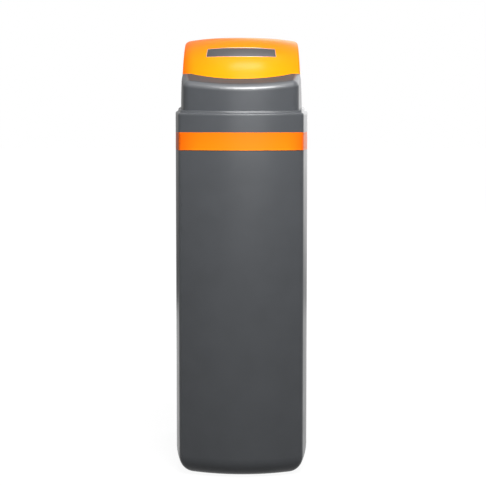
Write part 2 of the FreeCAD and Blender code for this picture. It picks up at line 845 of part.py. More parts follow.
def make_tub():
    """The salt tub: rolled bottom edge, open top, and a spigot that the trim band sits round."""
    outside = plan_prism("tub_outside", 0, TUB_TOP)
    fillet(outside, S.base_roll_radius, lambda edge: edge.BoundBox.ZMax < 0.01)
    spigot_inset = S.band_wall + S.fit_gap
    spigot = plan_prism("tub_spigot", TUB_TOP - S.spigot_height, TUB_TOP + S.spigot_height,
                        inset=spigot_inset)
    spigot_bore = plan_prism("tub_spigot_bore", TUB_TOP - S.spigot_height * 2, BAND_TOP,
                             inset=spigot_inset + S.spigot_wall)
    inside = plan_prism("tub_inside", S.tub_floor, TUB_TOP - S.spigot_height, inset=S.tub_wall)
    floor_edge = S.tub_floor.value + 0.01
    fillet(inside, S.base_roll_radius - S.tub_wall, lambda edge: edge.BoundBox.ZMax < floor_edge)
    overflow_hole = cylinder("overflow_hole", S.overflow_radius + S.fit_gap, S.tub_wall * 4,
                             OVERFLOW_X, BACK - S.tub_wall * 2, OVERFLOW_Z, TO_REAR)
    solid = fuse("tub_solid", outside, spigot)
    return node(cut("tub_shell", solid, inside, spigot_bore, overflow_hole), "salt_tub")


def make_band():
    """The coloured trim band between the tub and the deck."""
    outside = plan_prism("band_outside", TUB_TOP, BAND_TOP)
    inside = plan_prism("band_inside", TUB_TOP - S.band_height, BAND_TOP + S.band_height,
                        inset=S.band_wall)
    return node(cut("band_ring", outside, inside), "trim_band")


def make_deck():
    """The deck: a rim that rises to the back, and a sloping pedestal that carries the hood."""
    spigot_inset = S.band_wall + S.fit_gap
    draft = drafted_sides(BAND_TOP, RIM_REAR, HALF, HALF - S.deck_draft)

    def rim_form(name, inset, drop):
        body = plan_prism(name, BAND_TOP, TOP, inset=inset)
        trim(body, "YZ_Plane", below_line(tilted_line(RIM_FRONT, RIM_REAR, drop)), name + "_rim")
        return body

    outside = rim_form("deck_outside", 0, 0)
    trim(outside, "XZ_Plane", draft, "deck_sides")
    rim_low = RIM_FRONT.value - 0.01
    fillet(outside, S.rim_radius, lambda edge: edge.BoundBox.ZMin > rim_low)
    pedestal = new_body("pedestal")
    foot = new_sketch(pedestal, "pedestal_foot", "XY_Plane", RIM_FRONT - S.rim_radius)
    draw_plan(foot, inset=S.rim_radius / 2)
    head = new_sketch(pedestal, "pedestal_head", "XY_Plane", BASE_REAR + S.rim_radius)
    draw_plan(head, inset=S.ledge_width - S.fit_gap)
    loft(pedestal, [foot, head])
    trim(pedestal, "YZ_Plane", below_line(tilted_line(BASE_FRONT, BASE_REAR)), "pedestal_top")
    spigot = plan_prism("deck_spigot", BAND_TOP - S.spigot_height, BAND_TOP + S.spigot_height,
                        inset=spigot_inset)
    spigot_bore = plan_prism("deck_spigot_bore", BAND_TOP - S.spigot_height * 2,
                             BAND_TOP + S.spigot_height * 2, inset=spigot_inset + S.spigot_wall)
    inside = rim_form("deck_inside", spigot_inset + S.deck_wall, S.deck_wall * 2)
    under = plan_prism("pedestal_inside", BAND_TOP, TOP, inset=S.ledge_width + S.deck_wall)
    trim(under, "YZ_Plane", below_line(tilted_line(BASE_FRONT, BASE_REAR, S.deck_wall)), "pedestal_roof")
    salt_opening = prism("salt_opening", "XY_Plane", rounded_box(
        S.salt_opening_width, S.salt_opening_depth, S.salt_opening_radius,
        0, FRONT + S.salt_opening_front + S.salt_opening_depth / 2), TOP)
    valve_opening = cylinder("valve_opening", S.collar_radius + S.valve_opening_gap, TOP,
                             0, VESSEL_Y, 0)
    solid = fuse("deck_solid", outside, pedestal, spigot)
    return node(cut("deck_shell", solid, inside, under, spigot_bore, salt_opening, valve_opening),
                "top_deck")


def make_hood():
    """The hood: a ring round the valve with a sloping front edge that carries the lid's front."""
    def form(name, inset, drop, bottom_drop):
        body = plan_prism(name, BAND_TOP, TOP, inset=S.ledge_width + inset,
                          corner=S.hood_corner_radius - inset)
        base = tilted_line(BASE_FRONT, BASE_REAR, bottom_drop)
        trim(body, "YZ_Plane", base + seat_line(drop)[::-1], name + "_side")
        trim(body, "XZ_Plane", drafted_sides(BASE_FRONT, SEAT, HALF - S.ledge_width - inset,
                                             SEAT_HALF - inset), name + "_sides")
        return body

    def round_front(body, radius, drop):
        """Rounds the edge where the front wall meets the slope."""
        edge_low, edge_high = (HOOD_EDGE - drop).value - 0.5, (SEAT - drop).value - 3
        front_limit = HOOD_FRONT.value + S.lid_setback.value

        def front_edge(edge):
            box = edge.BoundBox
            return box.ZMin > edge_low and box.ZMax < edge_high and box.YMax < front_limit and \
                box.XLength > box.YLength
        fillet(body, radius, front_edge)

    outside = form("hood_outside", 0, 0, 0)
    round_front(outside, S.hood_edge_radius, 0)
    inside = form("hood_inside", S.hood_wall, S.hood_wall, S.hood_wall * 2)
    round_front(inside, S.hood_edge_radius - S.hood_wall, S.hood_wall)
    opening = plan_prism("hood_opening", BASE_FRONT, TOP, inset=S.ledge_width + S.hood_draft + S.seat_lip,
                         front=LID_FRONT + S.seat_lip, bow=S.lid_bow_radius - S.seat_lip)
    pipes = prism("pipe_opening", "XZ_Plane", rounded_box(
        S.pipe_opening_width, S.pipe_opening_height, S.pipe_opening_radius, 0, PORT_Z),
        S.hood_wall * 4, offset=-HOOD_BACK, midplane=True)
    gland_hole = cylinder("gland_hole", S.gland_radius + S.fit_gap, S.hood_wall * 4, GLAND_X,
                          HOOD_BACK - S.hood_wall * 2, PORT_Z, TO_REAR)
    return node(cut("hood_shell", outside, inside, opening, pipes, gland_hole), "hood")


def lid_blank(name, wall):
    """The lid's bowed front, leaning sides and arched top, before its nose is rounded.

    A wall of 0 gives the outer form, which ends on the hood's seat. More gives the cavity's form, which
    is open below and behind.
    """
    rear, roof = as_dim(S.lid_rear), TOP + S.lid_nose_radius
    if isinstance(wall, Dim):
        rear = rear + S.lid_nose_radius
        seat = [(FRONT, BASE_FRONT), (rear, BASE_FRONT)]
    else:
        seat = seat_line(-S.fit_gap)[:2] + [(rear, SEAT + S.fit_gap)]
    body = plan_prism(name, BASE_FRONT, roof, inset=S.ledge_width + wall, front=LID_FRONT + wall,
                      bow=S.lid_bow_radius - wall)
    trim(body, "YZ_Plane", seat + [(rear, roof), (seat[0][0], roof)], name + "_side")
    trim(body, "XZ_Plane", drafted_sides(SEAT, TOP, SEAT_HALF - wall, SEAT_HALF - S.lid_draft - wall),
         name + "_sides")
    crown(body, TOP - wall, S.lid_crown_radius - wall)
    return body


def lid_nose(name, wall):
    """The nose's round, turned about the axis of the lid's bow."""
    bow, top = S.lid_bow_radius - wall, TOP - wall
    nose = turned(name, [
        (0, BAND_TOP), (bow, BAND_TOP), (bow, top - S.lid_top_fall, S.lid_nose_radius - wall), (0, top)])
    return place(nose, 0, LID_FRONT + S.lid_bow_radius, 0)


def lid_form(name, wall):
    """The lid's form, moved inwards by a wall."""
    return common(name, lid_blank(name + "_blank", wall), lid_nose(name + "_nose", wall))


def knuckle_places():
    """The two hinge stations, left and right of the middle."""
    return (-S.hinge_offset, as_dim(S.hinge_offset))


def make_lid():
    """The lid: a crowned shell with hinge ears under its back edge and a bed for the name plate."""
    blank = lid_blank("lid_blank", 0)
    shoulder_low = TOP.value - S.lid_nose_radius.value / 3

    def shoulder(edge):
        box = edge.BoundBox
        side = abs(box.XMin + box.XMax) / 2 > HALF.value * 0.75
        return side and box.ZMax > shoulder_low and box.YLength > S.lid_nose_radius.value
    fillet(blank, S.lid_shoulder_radius, shoulder)
    outside = common("lid_outside", blank, lid_nose("lid_outside_nose", 0))
    cavity = lid_form("lid_cavity", S.lid_wall)
    bed = cut("plate_bed", plate_outline("plate_bed_outline", S.fit_gap),
              lid_form("plate_bed_floor", S.plate_depth))
    ears, holes, notches = [], [], []
    ear_reach = S.knuckle_length / 2 + S.ear_gap
    for index, middle in enumerate(knuckle_places()):
        for side, foot in ((0, middle - ear_reach - S.ear_length), (1, middle + ear_reach)):
            name = "lid_ear_%d_%d" % (index, side)
            ears.append(cylinder(name, S.ear_radius, S.ear_length, foot, HINGE_Y, HINGE_Z, TO_RIGHT))
            ears.append(block(name + "_web", S.ear_length, S.ear_radius, S.hinge_drop - S.lid_wall,
                              foot + S.ear_length / 2, HINGE_Y - S.ear_radius, HINGE_Z))
        hole_foot = middle - ear_reach - S.ear_length * 2
        holes.append(cylinder("lid_ear_hole_%d" % index, S.hinge_pin_radius + S.running_gap,
                              ear_reach * 2 + S.ear_length * 4, hole_foot, HINGE_Y, HINGE_Z, TO_RIGHT))
        notches.append(block("lid_notch_%d" % index, ear_reach * 2, S.ear_radius * 4, S.ear_radius * 6,
                             middle, HINGE_Y - S.ear_radius - S.ear_gap, HINGE_Z - S.ear_radius * 2))
    shell = cut("lid_shell", outside, cavity)
    solid = fuse("lid_with_ears", shell, *ears)
    return node(cut("lid_whole", solid, bed, *(holes + notches)), "lid")


def plate_outline(name, gap):
    """The name plate seen from the front: straight foot, sides that lean in, arched top."""
    foot = PLATE_FOOT - gap
    head = foot + S.plate_height + 2 * as_dim(gap)
    low, high = S.plate_low_width / 2 + gap, S.plate_high_width / 2 + gap
    body = new_body(name)
    sketch = new_sketch(body, name + "_sketch", "XZ_Plane")
    draw_outline(sketch, [(-low, foot), (low, foot), (high, head - S.plate_arch),
                          (high / 2, head - S.plate_arch / 4), (-high / 2, head - S.plate_arch / 4),
                          (-high, head - S.plate_arch)])
    pad(body, sketch, -FRONT)
    return body


def make_name_plate():
    """The bare plate that lies in the bed on the lid's nose."""
    skin = cut("plate_skin", lid_form("plate_face", -S.plate_stand),
               lid_form("plate_back", S.plate_depth))
    return node(common("plate", skin, plate_outline("plate_edge", 0)), "name_plate")


def make_rear_cover():
    """The fixed cover behind the lid, with two hinge knuckles on its front edge."""
    def form(name, wall, front, foot):
        body = plan_prism(name, BASE_FRONT, TOP + S.cover_rear_radius, inset=S.ledge_width + wall)
        back = HOOD_BACK - wall
        trim(body, "YZ_Plane", [(front, foot), (back, foot), (back, TOP - wall, S.cover_rear_radius - wall),
                                (front, TOP - wall)], name + "_side")
        trim(body, "XZ_Plane", drafted_sides(SEAT, TOP, SEAT_HALF - wall, SEAT_HALF - S.lid_draft - wall),
             name + "_sides")
        crown(body, TOP - wall, S.cover_crown_radius - wall)
        return body

    outside = form("cover_outside", 0, COVER_FRONT, SEAT)
    shoulder_low = TOP.value - S.cover_rear_radius.value

    def shoulder(edge):
        box = edge.BoundBox
        side = abs(box.XMin + box.XMax) / 2 > HALF.value * 0.75
        return side and box.ZMax > shoulder_low and box.YLength > S.rear_corner_radius.value / 2 and \
            box.YMin < COVER_FRONT.value + 1
    fillet(outside, S.lid_shoulder_radius, shoulder)
    cavity = form("cover_cavity", S.cover_wall, COVER_FRONT - S.cover_gap * 4, BASE_FRONT)
    arms, holes = [], []
    for index, middle in enumerate(knuckle_places()):
        foot = middle - S.knuckle_length / 2
        arms.append(cylinder("knuckle_%d" % index, S.knuckle_radius, S.knuckle_length, foot,
                             HINGE_Y, HINGE_Z, TO_RIGHT))
        arms.append(block("arm_%d" % index, S.knuckle_length, COVER_FRONT + S.knuckle_radius * 4 - HINGE_Y,
                          S.knuckle_radius * 2, middle, HINGE_Y, HINGE_Z - S.knuckle_radius))
        arms.append(block("arm_root_%d" % index, S.knuckle_length, S.knuckle_radius * 3,
                          S.hinge_drop - S.cover_wall / 2, middle, COVER_FRONT + S.knuckle_radius, HINGE_Z))
        holes.append(cylinder("knuckle_hole_%d" % index, S.hinge_pin_radius + S.running_gap,
                              S.knuckle_length * 2, foot - S.knuckle_length / 2, HINGE_Y, HINGE_Z, TO_RIGHT))
    shell = cut("cover_shell", outside, cavity)
    return node(cut("cover_whole", fuse("cover_with_arms", shell, *arms), *holes), "rear_cover")


def make_hinge_pins():
    """One pin at each hinge station, through ear, knuckle and ear."""
    length = S.knuckle_length + (S.ear_gap + S.ear_length) * 2
    pins = [cylinder("hinge_pin_%d" % i, S.hinge_pin_radius, length, middle - length / 2,
                     HINGE_Y, HINGE_Z, TO_RIGHT) for i, middle in enumerate(knuckle_places())]
    return node(fuse("hinge_pins", *pins), "hinge_pins")


def make_vessel():
    """The pressure vessel: domed foot, round shoulders and a bored neck."""
    out, wall = S.vessel_diameter / 2, S.vessel_wall
    foot, shoulder = S.vessel_foot_lift, VESSEL_HEIGHT - S.neck_length
    vessel = turned("vessel", [
        (0, foot), (out, foot, S.vessel_foot_radius), (out, shoulder, S.vessel_shoulder_radius),
        (S.neck_radius, shoulder), (S.neck_radius, VESSEL_HEIGHT), (S.neck_bore, VESSEL_HEIGHT),
        (S.neck_bore, shoulder - wall), (out - wall, shoulder - wall, S.vessel_shoulder_radius - wall),
        (out - wall, foot + wall, S.vessel_foot_radius - wall), (0, foot + wall)])
    return node(place(vessel, 0, VESSEL_Y, S.tub_floor), "pressure_vessel")


def make_boot():
    """The cup that the vessel stands in."""
    out = S.vessel_diameter / 2
    floor = S.vessel_foot_lift - S.fit_gap
    roll = S.base_roll_radius - S.tub_wall
    boot = turned("boot", [
        (0, 0), (out, 0, roll), (out, S.boot_height), (out - S.boot_wall, S.boot_height),
        (out - S.boot_wall, floor, roll - S.boot_wall), (0, floor)])
    return node(place(boot, 0, VESSEL_Y, S.tub_floor), "vessel_boot")


def make_gravel():
    """The gravel bed round the bottom strainer."""
    out = S.vessel_diameter / 2 - S.vessel_wall - S.fit_gap
    foot = S.vessel_foot_lift + S.vessel_wall + S.fit_gap
    hole, riser = S.strainer_radius + S.fit_gap, S.riser_radius + S.fit_gap
    over = foot + S.strainer_height + S.fit_gap
    gravel = turned("gravel", [
        (hole, foot), (out, foot, S.vessel_foot_radius - S.vessel_wall - S.fit_gap),
        (out, foot + S.gravel_depth), (riser, foot + S.gravel_depth), (riser, over), (hole, over)])
    return node(place(gravel, 0, VESSEL_Y, S.tub_floor), "gravel_bed")


def make_media():
    """The bed of softening resin on the gravel."""
    out = S.vessel_diameter / 2 - S.vessel_wall - S.fit_gap
    foot = S.vessel_foot_lift + S.vessel_wall + S.fit_gap + S.gravel_depth
    riser = S.riser_radius + S.fit_gap
    media = turned("media", [(riser, foot), (out, foot), (out, foot + S.media_depth),
                             (riser, foot + S.media_depth)])
    return node(place(media, 0, VESSEL_Y, S.tub_floor), "resin_bed")


def make_strainer():
    """The bottom strainer: a slotted drum under the riser tube."""
    foot = S.vessel_foot_lift + S.vessel_wall + S.fit_gap
    slot, step = S.strainer_slot, S.strainer_slot * 4
    drum = new_body("strainer_drum")
    sketch = new_sketch(drum, "strainer_disc", "XY_Plane")
    draw_circle(sketch, S.strainer_radius)
    pad(drum, sketch, S.strainer_height)
    grooves = [cut("strainer_groove_%d" % i,
                   cylinder("groove_out_%d" % i, S.strainer_radius + slot, slot, 0, 0, step * i),
                   cylinder("groove_in_%d" % i, S.strainer_radius - slot * 2, slot, 0, 0, step * i))
               for i in range(1, 5)]
    socket = cylinder("strainer_socket", S.riser_radius + S.fit_gap, S.strainer_height, 0, 0,
                      S.strainer_height / 2)
    body = cut("strainer_body", drum, socket, *grooves)
    return node(place(body, 0, VESSEL_Y, S.tub_floor + foot), "bottom_strainer")


def make_riser():
    """The riser tube from the bottom strainer up into the valve."""
    foot = S.vessel_foot_lift + S.vessel_wall + S.fit_gap + S.strainer_height / 2 + S.fit_gap
    length = VESSEL_HEIGHT - foot
    tube = turned("riser", [(S.riser_radius - S.riser_wall, 0), (S.riser_radius, 0),
                            (S.riser_radius, length), (S.riser_radius - S.riser_wall, length)])
    return node(place(tube, 0, VESSEL_Y, S.tub_floor + foot), "riser_tube")


def make_basket():
    """The top basket that keeps resin out of the valve, under the vessel's neck."""
    head = VESSEL_HEIGHT - S.spigot_depth - S.fit_gap
    inner = S.riser_radius + S.fit_gap
    basket = turned("basket", [(inner, 0), (S.basket_radius / 1.5, 0), (S.basket_radius, S.basket_height),
                               (inner, S.basket_height)])
    return node(place(basket, 0, VESSEL_Y, S.tub_floor + head - S.basket_height), "top_basket")


def make_valve_body():
    """The valve body: neck spigot, collar, column, piston barrel, two ports and three bosses."""
    barrel_length = S.barrel_front + S.barrel_rear
    parts = [
        cylinder("neck_spigot", S.neck_bore - S.fit_gap, S.spigot_depth + S.collar_height / 2, 0, VESSEL_Y,
                 VALVE_FOOT - S.spigot_depth),
        cylinder("neck_collar", S.collar_radius, S.collar_height, 0, VESSEL_Y, VALVE_FOOT),
        cylinder("column", S.column_radius, S.valve_axis_rise, 0, VESSEL_Y, VALVE_FOOT),
        cylinder("barrel", S.barrel_radius, barrel_length, 0, BARREL_FRONT, PORT_Z, TO_REAR),
        cylinder("side_boss", S.side_boss_radius, S.side_boss_reach, 0, BOSS_Y, PORT_Z, TO_RIGHT),
        cylinder("brine_boss", S.side_boss_radius, S.side_boss_reach, 0, BOSS_Y, PORT_Z, TO_LEFT),
        cylinder("drain_boss", S.drain_boss_radius, S.drain_boss_rise, 0, VESSEL_Y + S.boss_setback,
                 PORT_Z),
    ]
    bores = [
        cylinder("piston_bore", S.bore_radius, BORE_LENGTH, 0, BARREL_FRONT, PORT_Z, TO_REAR),
        cylinder("riser_bore", S.riser_radius + S.fit_gap, S.spigot_depth * 2, 0, VESSEL_Y,
                 VALVE_FOOT - S.spigot_depth),
        ring("seal_groove", S.neck_ring_radius, S.neck_ring_section + S.fit_gap, 0, VESSEL_Y, SEAL_Z),
        cylinder("injector_bore", S.injector_radius + S.fit_gap, S.injector_length + S.fit_gap,
                 S.side_boss_reach - S.injector_length - S.fit_gap, BOSS_Y, PORT_Z, TO_RIGHT),
    ]
    for index, sign in enumerate((-1, 1)):
        x = sign * PORT_X
        parts.append(cylinder("port_%d" % index, S.port_radius, S.port_reach, x, VESSEL_Y, PORT_Z, TO_REAR))
        bores.append(cylinder("port_bore_%d" % index, S.port_bore, S.port_reach, x,
                              VESSEL_Y + S.fit_gap, PORT_Z, TO_REAR))
    parts.append(block("port_web", S.port_spacing, S.port_radius * 2, S.port_radius, 0, VESSEL_Y,
                       PORT_Z - S.port_radius / 2))
    solid = fuse("valve_solid", *parts)
    return node(cut("valve_bored", solid, *bores), "valve_body")


def make_neck_seal():
    """The ring that seals the valve to the vessel's neck."""
    return node(ring("neck_seal", S.neck_ring_radius, S.neck_ring_section, 0, VESSEL_Y, SEAL_Z),
                "neck_seal")


def make_seal_stack():
    """The stack of spacers and seals that the piston slides in, with windows between the rings."""
    inner = S.piston_radius + S.running_gap
    outer = inner + S.seal_wall
    length = BORE_LENGTH - S.plug_thickness - S.fit_gap * 2
    waist = outer - S.seal_wall / 2
    corners = [(inner, 0), (outer, 0)]
    z = as_dim(S.spacer_length)
    for _ in range(3):
        groove = z + S.spacer_length / 2
        corners += [(outer, z), (waist, z), (waist, groove), (outer, groove)]
        z = z + S.spacer_length * 1.5
    corners += [(outer, length), (inner, length)]
    stack = turned("stack", corners)
    return node(place(stack, 0, BARREL_FRONT + S.plug_thickness + S.fit_gap, PORT_Z, TO_REAR), "seal_stack")


def make_valve_plug():
    """The plug that closes the barrel's front and guides the piston rod."""
    plug = turned("plug", [(S.piston_rod_radius + S.running_gap, 0), (S.bore_radius - S.fit_gap, 0),
                           (S.bore_radius - S.fit_gap, S.plug_thickness),
                           (S.piston_rod_radius + S.running_gap, S.plug_thickness)])
    return node(place(plug, 0, BARREL_FRONT, PORT_Z, TO_REAR), "barrel_plug")


def make_piston():
    """The piston: a spool with three lands and a rod that reaches through the main gear."""
    tip = MAIN_GEAR_Y - S.piston_stroke
    rod = BARREL_FRONT + S.plug_thickness + S.fit_gap * 2 - tip
    lands, waist = S.piston_radius, S.piston_waist
    step = (S.piston_length - S.land_length) / 2
    corners = [(0, 0), (S.piston_rod_radius, 0), (S.piston_rod_radius, rod)]
    z = rod
    for i in range(3):
        corners += [(lands, z), (lands, z + S.land_length)]
        if i < 2:
            corners += [(waist, z + S.land_length), (waist, z + step)]
        z = z + step
    corners += [(0, rod + S.piston_length)]
    piston = turned("spool", corners)
    return node(place(piston, 0, tip, PORT_Z, TO_REAR), "piston")


def make_bracket():
    """The drive bracket: a plate on the barrel with holes for the rod's hub and the motor shaft."""
    body = prism("bracket", "XZ_Plane", rounded_box(S.bracket_width, S.bracket_height,
                 S.bracket_corner_radius, 0, BRACKET_Z), S.bracket_thickness, offset=-BARREL_FRONT)
    holes = [cylinder("hub_hole", S.hub_radius + S.fit_gap, S.bracket_thickness * 3, 0,
                      BRACKET_FRONT - S.bracket_thickness, PORT_Z, TO_REAR),
             cylinder("shaft_hole", PINION_PITCH, S.bracket_thickness * 3, PINION_X,
                      BRACKET_FRONT - S.bracket_thickness, PINION_Z, TO_REAR)]
    posts = []
    for index, (sx, sz) in enumerate(((-1, -1), (1, -1), (1, 1), (-1, 1))):
        posts.append(cylinder("board_post_%d" % index, S.post_radius, BRACKET_FRONT - BOARD_BACK,
                              sx * (S.board_width / 2 - S.post_radius), BRACKET_FRONT,
                              BOARD_Z + sz * (S.board_height / 2 - S.post_radius), TO_FRONT))
    solid = fuse("bracket_solid", body, *posts)
    return node(cut("bracket_bored", solid, *holes), "drive_bracket")


def gear_body(name, teeth, width, phase, bore):
    """A spur gear about its own Z axis: a root disc and one tooth, repeated round it."""
    pitch = MODULE * teeth / 2
    base, tip = pitch - MODULE * 1.25, pitch + MODULE * 0.9
    body = new_body(name)
    disc = new_sketch(body, name + "_disc")
    draw_circle(disc, base)
    draw_circle(disc, bore)
    pad(body, disc, width, name + "_web")
    tooth = new_sketch(body, name + "_tooth")
    half_pitch = MODULE * math.pi * S.tooth_width_share / 2
    inside = base - MODULE * 0.6
    draw_outline(tooth, [(inside, -half_pitch * 1.5), (base, -half_pitch * 1.4), (tip, -half_pitch * 0.55),
                         (tip, half_pitch * 0.55), (base, half_pitch * 1.4), (inside, half_pitch * 1.5)])
    one = pad(body, tooth, width, name + "_one_tooth")
    pattern = body.newObject("PartDesign::PolarPattern", name + "_teeth")
    pattern.Originals = [one]
    pattern.Axis = (origin_item(body, "Z_Axis"), [""])
    pattern.Angle = 360.0
    pattern.Occurrences = int(teeth.value)
    bind(pattern, "Occurrences", teeth)
    body.Tip = pattern
    spin = FreeCAD.Rotation(FreeCAD.Vector(1, 0, 0), -90) * FreeCAD.Rotation(FreeCAD.Vector(0, 0, 1), phase)
    return body, spin


def place_turned(thing, x, y, z, rotation):
    """Puts a gear at its place with a rotation worked out from its mesh."""
    thing.Placement = FreeCAD.Placement(FreeCAD.Vector(as_dim(x).value, as_dim(y).value, as_dim(z).value),
                                        rotation)
    for prop, size in (("x", x), ("y", y), ("z", z)):
        bind(thing, "Placement.Base." + prop, size)
    return thing


def mesh_phase(toward, teeth, gap):
    """Turn that puts a tooth, or a gap, of a gear toward an angle seen from the front."""
    step = 360.0 / teeth.value
    return -((toward - (step / 2 if gap else 0.0)) % step)


def make_main_gear():
    """The main gear, with a hub that turns in the bracket and a bore that the piston rod runs in."""
    bore = S.piston_rod_radius + S.running_gap
    body, spin = gear_body("main_gear_blank", S.main_teeth, S.gear_width,
                           mesh_phase(REDUCTION_ANGLE, S.main_teeth, False), bore)
    place_turned(body, 0, MAIN_GEAR_Y, PORT_Z, spin)
    hub_length = S.gear_clearance + S.bracket_thickness - S.fit_gap
    hub = turned("main_hub", [(bore, 0), (S.hub_radius, 0), (S.hub_radius, hub_length), (bore, hub_length)])
    place(hub, 0, MAIN_GEAR_Y + S.gear_width, PORT_Z, TO_REAR)
    return node(fuse("main_gear_whole", body, hub), "main_gear")


def make_reduction_gear():
    """The reduction gear: a small gear on the main gear and a large one under the motor pinion."""
    bore = S.axle_radius + S.running_gap
    toward_main = (REDUCTION_ANGLE + 180.0) % 360.0
    small, small_spin = gear_body("small_gear", S.small_teeth, S.gear_width + S.gear_clearance,
                                  mesh_phase(toward_main, S.small_teeth, True), bore)
    place_turned(small, REDUCTION_X, MAIN_GEAR_Y - S.gear_clearance, REDUCTION_Z, small_spin)
    large, large_spin = gear_body("large_gear", S.large_teeth, S.gear_width,
                                  mesh_phase(PINION_ANGLE, S.large_teeth, False), bore)
    place_turned(large, REDUCTION_X, LARGE_GEAR_Y, REDUCTION_Z, large_spin)
    return node(fuse("reduction_whole", small, large), "reduction_gear")


def make_axle():
    """The fixed axle of the reduction gear, pressed into the bracket."""
    length = BRACKET_FRONT - LARGE_GEAR_Y + S.gear_clearance / 2
    return node(cylinder("reduction_axle", S.axle_radius, length, REDUCTION_X, BRACKET_FRONT, REDUCTION_Z,
                         TO_FRONT), "reduction_axle")


def make_pinion():
    """The motor pinion and its shaft."""
    body, spin = gear_body("pinion_blank", S.pinion_teeth, S.gear_width,
                           mesh_phase((PINION_ANGLE + 180.0) % 360.0, S.pinion_teeth, True),
                           S.axle_radius / 2)
    place_turned(body, PINION_X, LARGE_GEAR_Y, PINION_Z, spin)
    shaft = cylinder("motor_shaft", S.axle_radius, BARREL_FRONT - LARGE_GEAR_Y + S.gear_clearance,
                     PINION_X, LARGE_GEAR_Y, PINION_Z, TO_REAR)
    return node(fuse("pinion_whole", body, shaft), "motor_pinion")


def make_motor():
    """The drive motor behind the bracket, with a bearing bore for its shaft."""
    can = turned("motor_can", [
        (S.axle_radius + S.running_gap, 0), (S.motor_radius, 0, S.axle_radius),
        (S.motor_radius, S.motor_length, S.axle_radius), (0, S.motor_length),
        (0, S.gear_clearance * 2), (S.axle_radius + S.running_gap, S.gear_clearance * 2)])
    return node(place(can, PINION_X, BARREL_FRONT, PINION_Z, TO_REAR), "drive_motor")


def make_board():
    """The circuit board on the bracket's posts."""
    board = prism("board", "XZ_Plane", rounded_box(S.board_width, S.board_height, S.post_radius, 0, BOARD_Z),
                  S.board_thickness, offset=-BOARD_BACK)
    return node(board, "circuit_board")


def make_display():
    """The display module between the board and the cover's window."""
    body = prism("display", "XZ_Plane", rounded_box(S.display_width, S.display_height, S.post_radius, 0,
                 BOARD_Z + S.display_rise), S.display_thickness, offset=-(BOARD_FRONT - S.fit_gap))
    return node(body, "display")


def button_x(index):
    """Middle of one button across the cover."""
    return S.button_pitch * (index - (S.button_count - 1) / 2)


def make_valve_cover():
    """The valve's front cover: a shell open at the back, with a window and holes for the buttons."""
    corners = rounded_box(S.bracket_width, S.bracket_height, S.bracket_corner_radius, 0, BRACKET_Z)
    wall = S.valve_cover_wall
    outside = prism("cover_box", "XZ_Plane", corners, S.cover_depth, offset=-COVER_BACK)
    low_front = VALVE_COVER_FRONT.value + 0.01
    fillet(outside, S.bracket_corner_radius / 2, lambda edge: edge.BoundBox.YMax < low_front)
    room = rounded_box(S.bracket_width - wall * 2, S.bracket_height - wall * 2,
                       S.bracket_corner_radius - wall, 0, BRACKET_Z)
    inside = prism("cover_room", "XZ_Plane", room, S.cover_depth - wall + S.fit_gap,
                   offset=-(COVER_BACK + S.fit_gap))
    window = prism("display_window", "XZ_Plane", rounded_box(
        S.display_width - S.post_radius * 2, S.display_height - S.post_radius * 2, S.post_radius, 0,
        BOARD_Z + S.display_rise), S.cover_depth / 2, offset=-(VALVE_COVER_FRONT + S.cover_depth / 4))
    holes = [cylinder("button_hole_%d" % i, S.button_radius + S.button_gap, wall * 4,
                      button_x(i), VALVE_COVER_FRONT - wall, BUTTON_Z, TO_REAR)
             for i in range(int(S.button_count.value))]
    return node(cut("valve_cover_shell", outside, inside, window, *holes), "valve_cover")


def make_button(index):
    """A push button: a cap in the cover's hole, with a rim behind the wall and a stem to its switch."""
    rim = S.button_radius + S.button_gap * 3
    cap, wall = S.button_travel * 2, S.valve_cover_wall
    back = BOARD_FRONT - S.fit_gap - S.button_travel
    face = VALVE_COVER_FRONT - cap
    rim_front = cap + wall + S.fit_gap
    length = back - face
    button = turned("button_%d" % (index + 1), [
        (0, 0), (S.button_radius, 0, S.button_gap * 2), (S.button_radius, rim_front), (rim, rim_front),
        (rim, rim_front + S.button_travel), (S.axle_radius, rim_front + S.button_travel),
        (S.axle_radius, length), (0, length)])
    return node(place(button, button_x(index), face, BUTTON_Z, TO_REAR), "button_%d" % (index + 1))


def make_injector():
    """The brine injector in the right-hand boss."""
    injector = turned("injector_body", [
        (S.injector_radius / 4, 0), (S.injector_radius, 0), (S.injector_radius, S.injector_length / 3),
        (S.injector_radius * 0.7, S.injector_length / 2), (S.injector_radius, S.injector_length * 0.7),
        (S.injector_radius, S.injector_length), (S.injector_radius / 2, S.injector_length)])
    return node(place(injector, S.side_boss_reach - S.injector_length, BOSS_Y, PORT_Z, TO_RIGHT), "injector")


def make_injector_cap():
    """The cap over the injector, with flats for a wrench."""
    cap = turned("injector_cap_blank", [
        (0, 0), (S.cap_radius, 0), (S.cap_radius, S.cap_length, S.axle_radius), (0, S.cap_length)])
    place(cap, S.side_boss_reach, BOSS_Y, PORT_Z, TO_RIGHT)
    flats = [block("cap_flat_%d" % i, S.cap_length, S.cap_radius * 2, S.cap_radius,
                   S.side_boss_reach + S.cap_length, BOSS_Y - S.cap_radius,
                   PORT_Z + (S.cap_radius * 0.8 if i else -S.cap_radius * 1.8)) for i in range(2)]
    return node(cut("injector_cap_cut", cap, *flats), "injector_cap")


def hex_nut(name, across, length, bore, round_edge):
    """A six-sided nut about its own Z axis."""
    body = new_body(name)
    sketch = new_sketch(body, name + "_flats")
    corner = as_dim(across) / 2 / math.cos(math.radians(30))
    draw_polygon(sketch, [(corner * math.cos(math.radians(60 * i)), corner * math.sin(math.radians(60 * i)))
                          for i in range(6)])
    pad(body, sketch, length)
    hole = new_sketch(body, name + "_bore")
    draw_circle(hole, bore)
    pocket(body, hole, midplane=True)
    rim = turned(name + "_rim", [(0, 0), (as_dim(across) / 2, 0), (corner, round_edge),
                                 (corner, length - round_edge), (as_dim(across) / 2, length), (0, length)])
    return body, rim


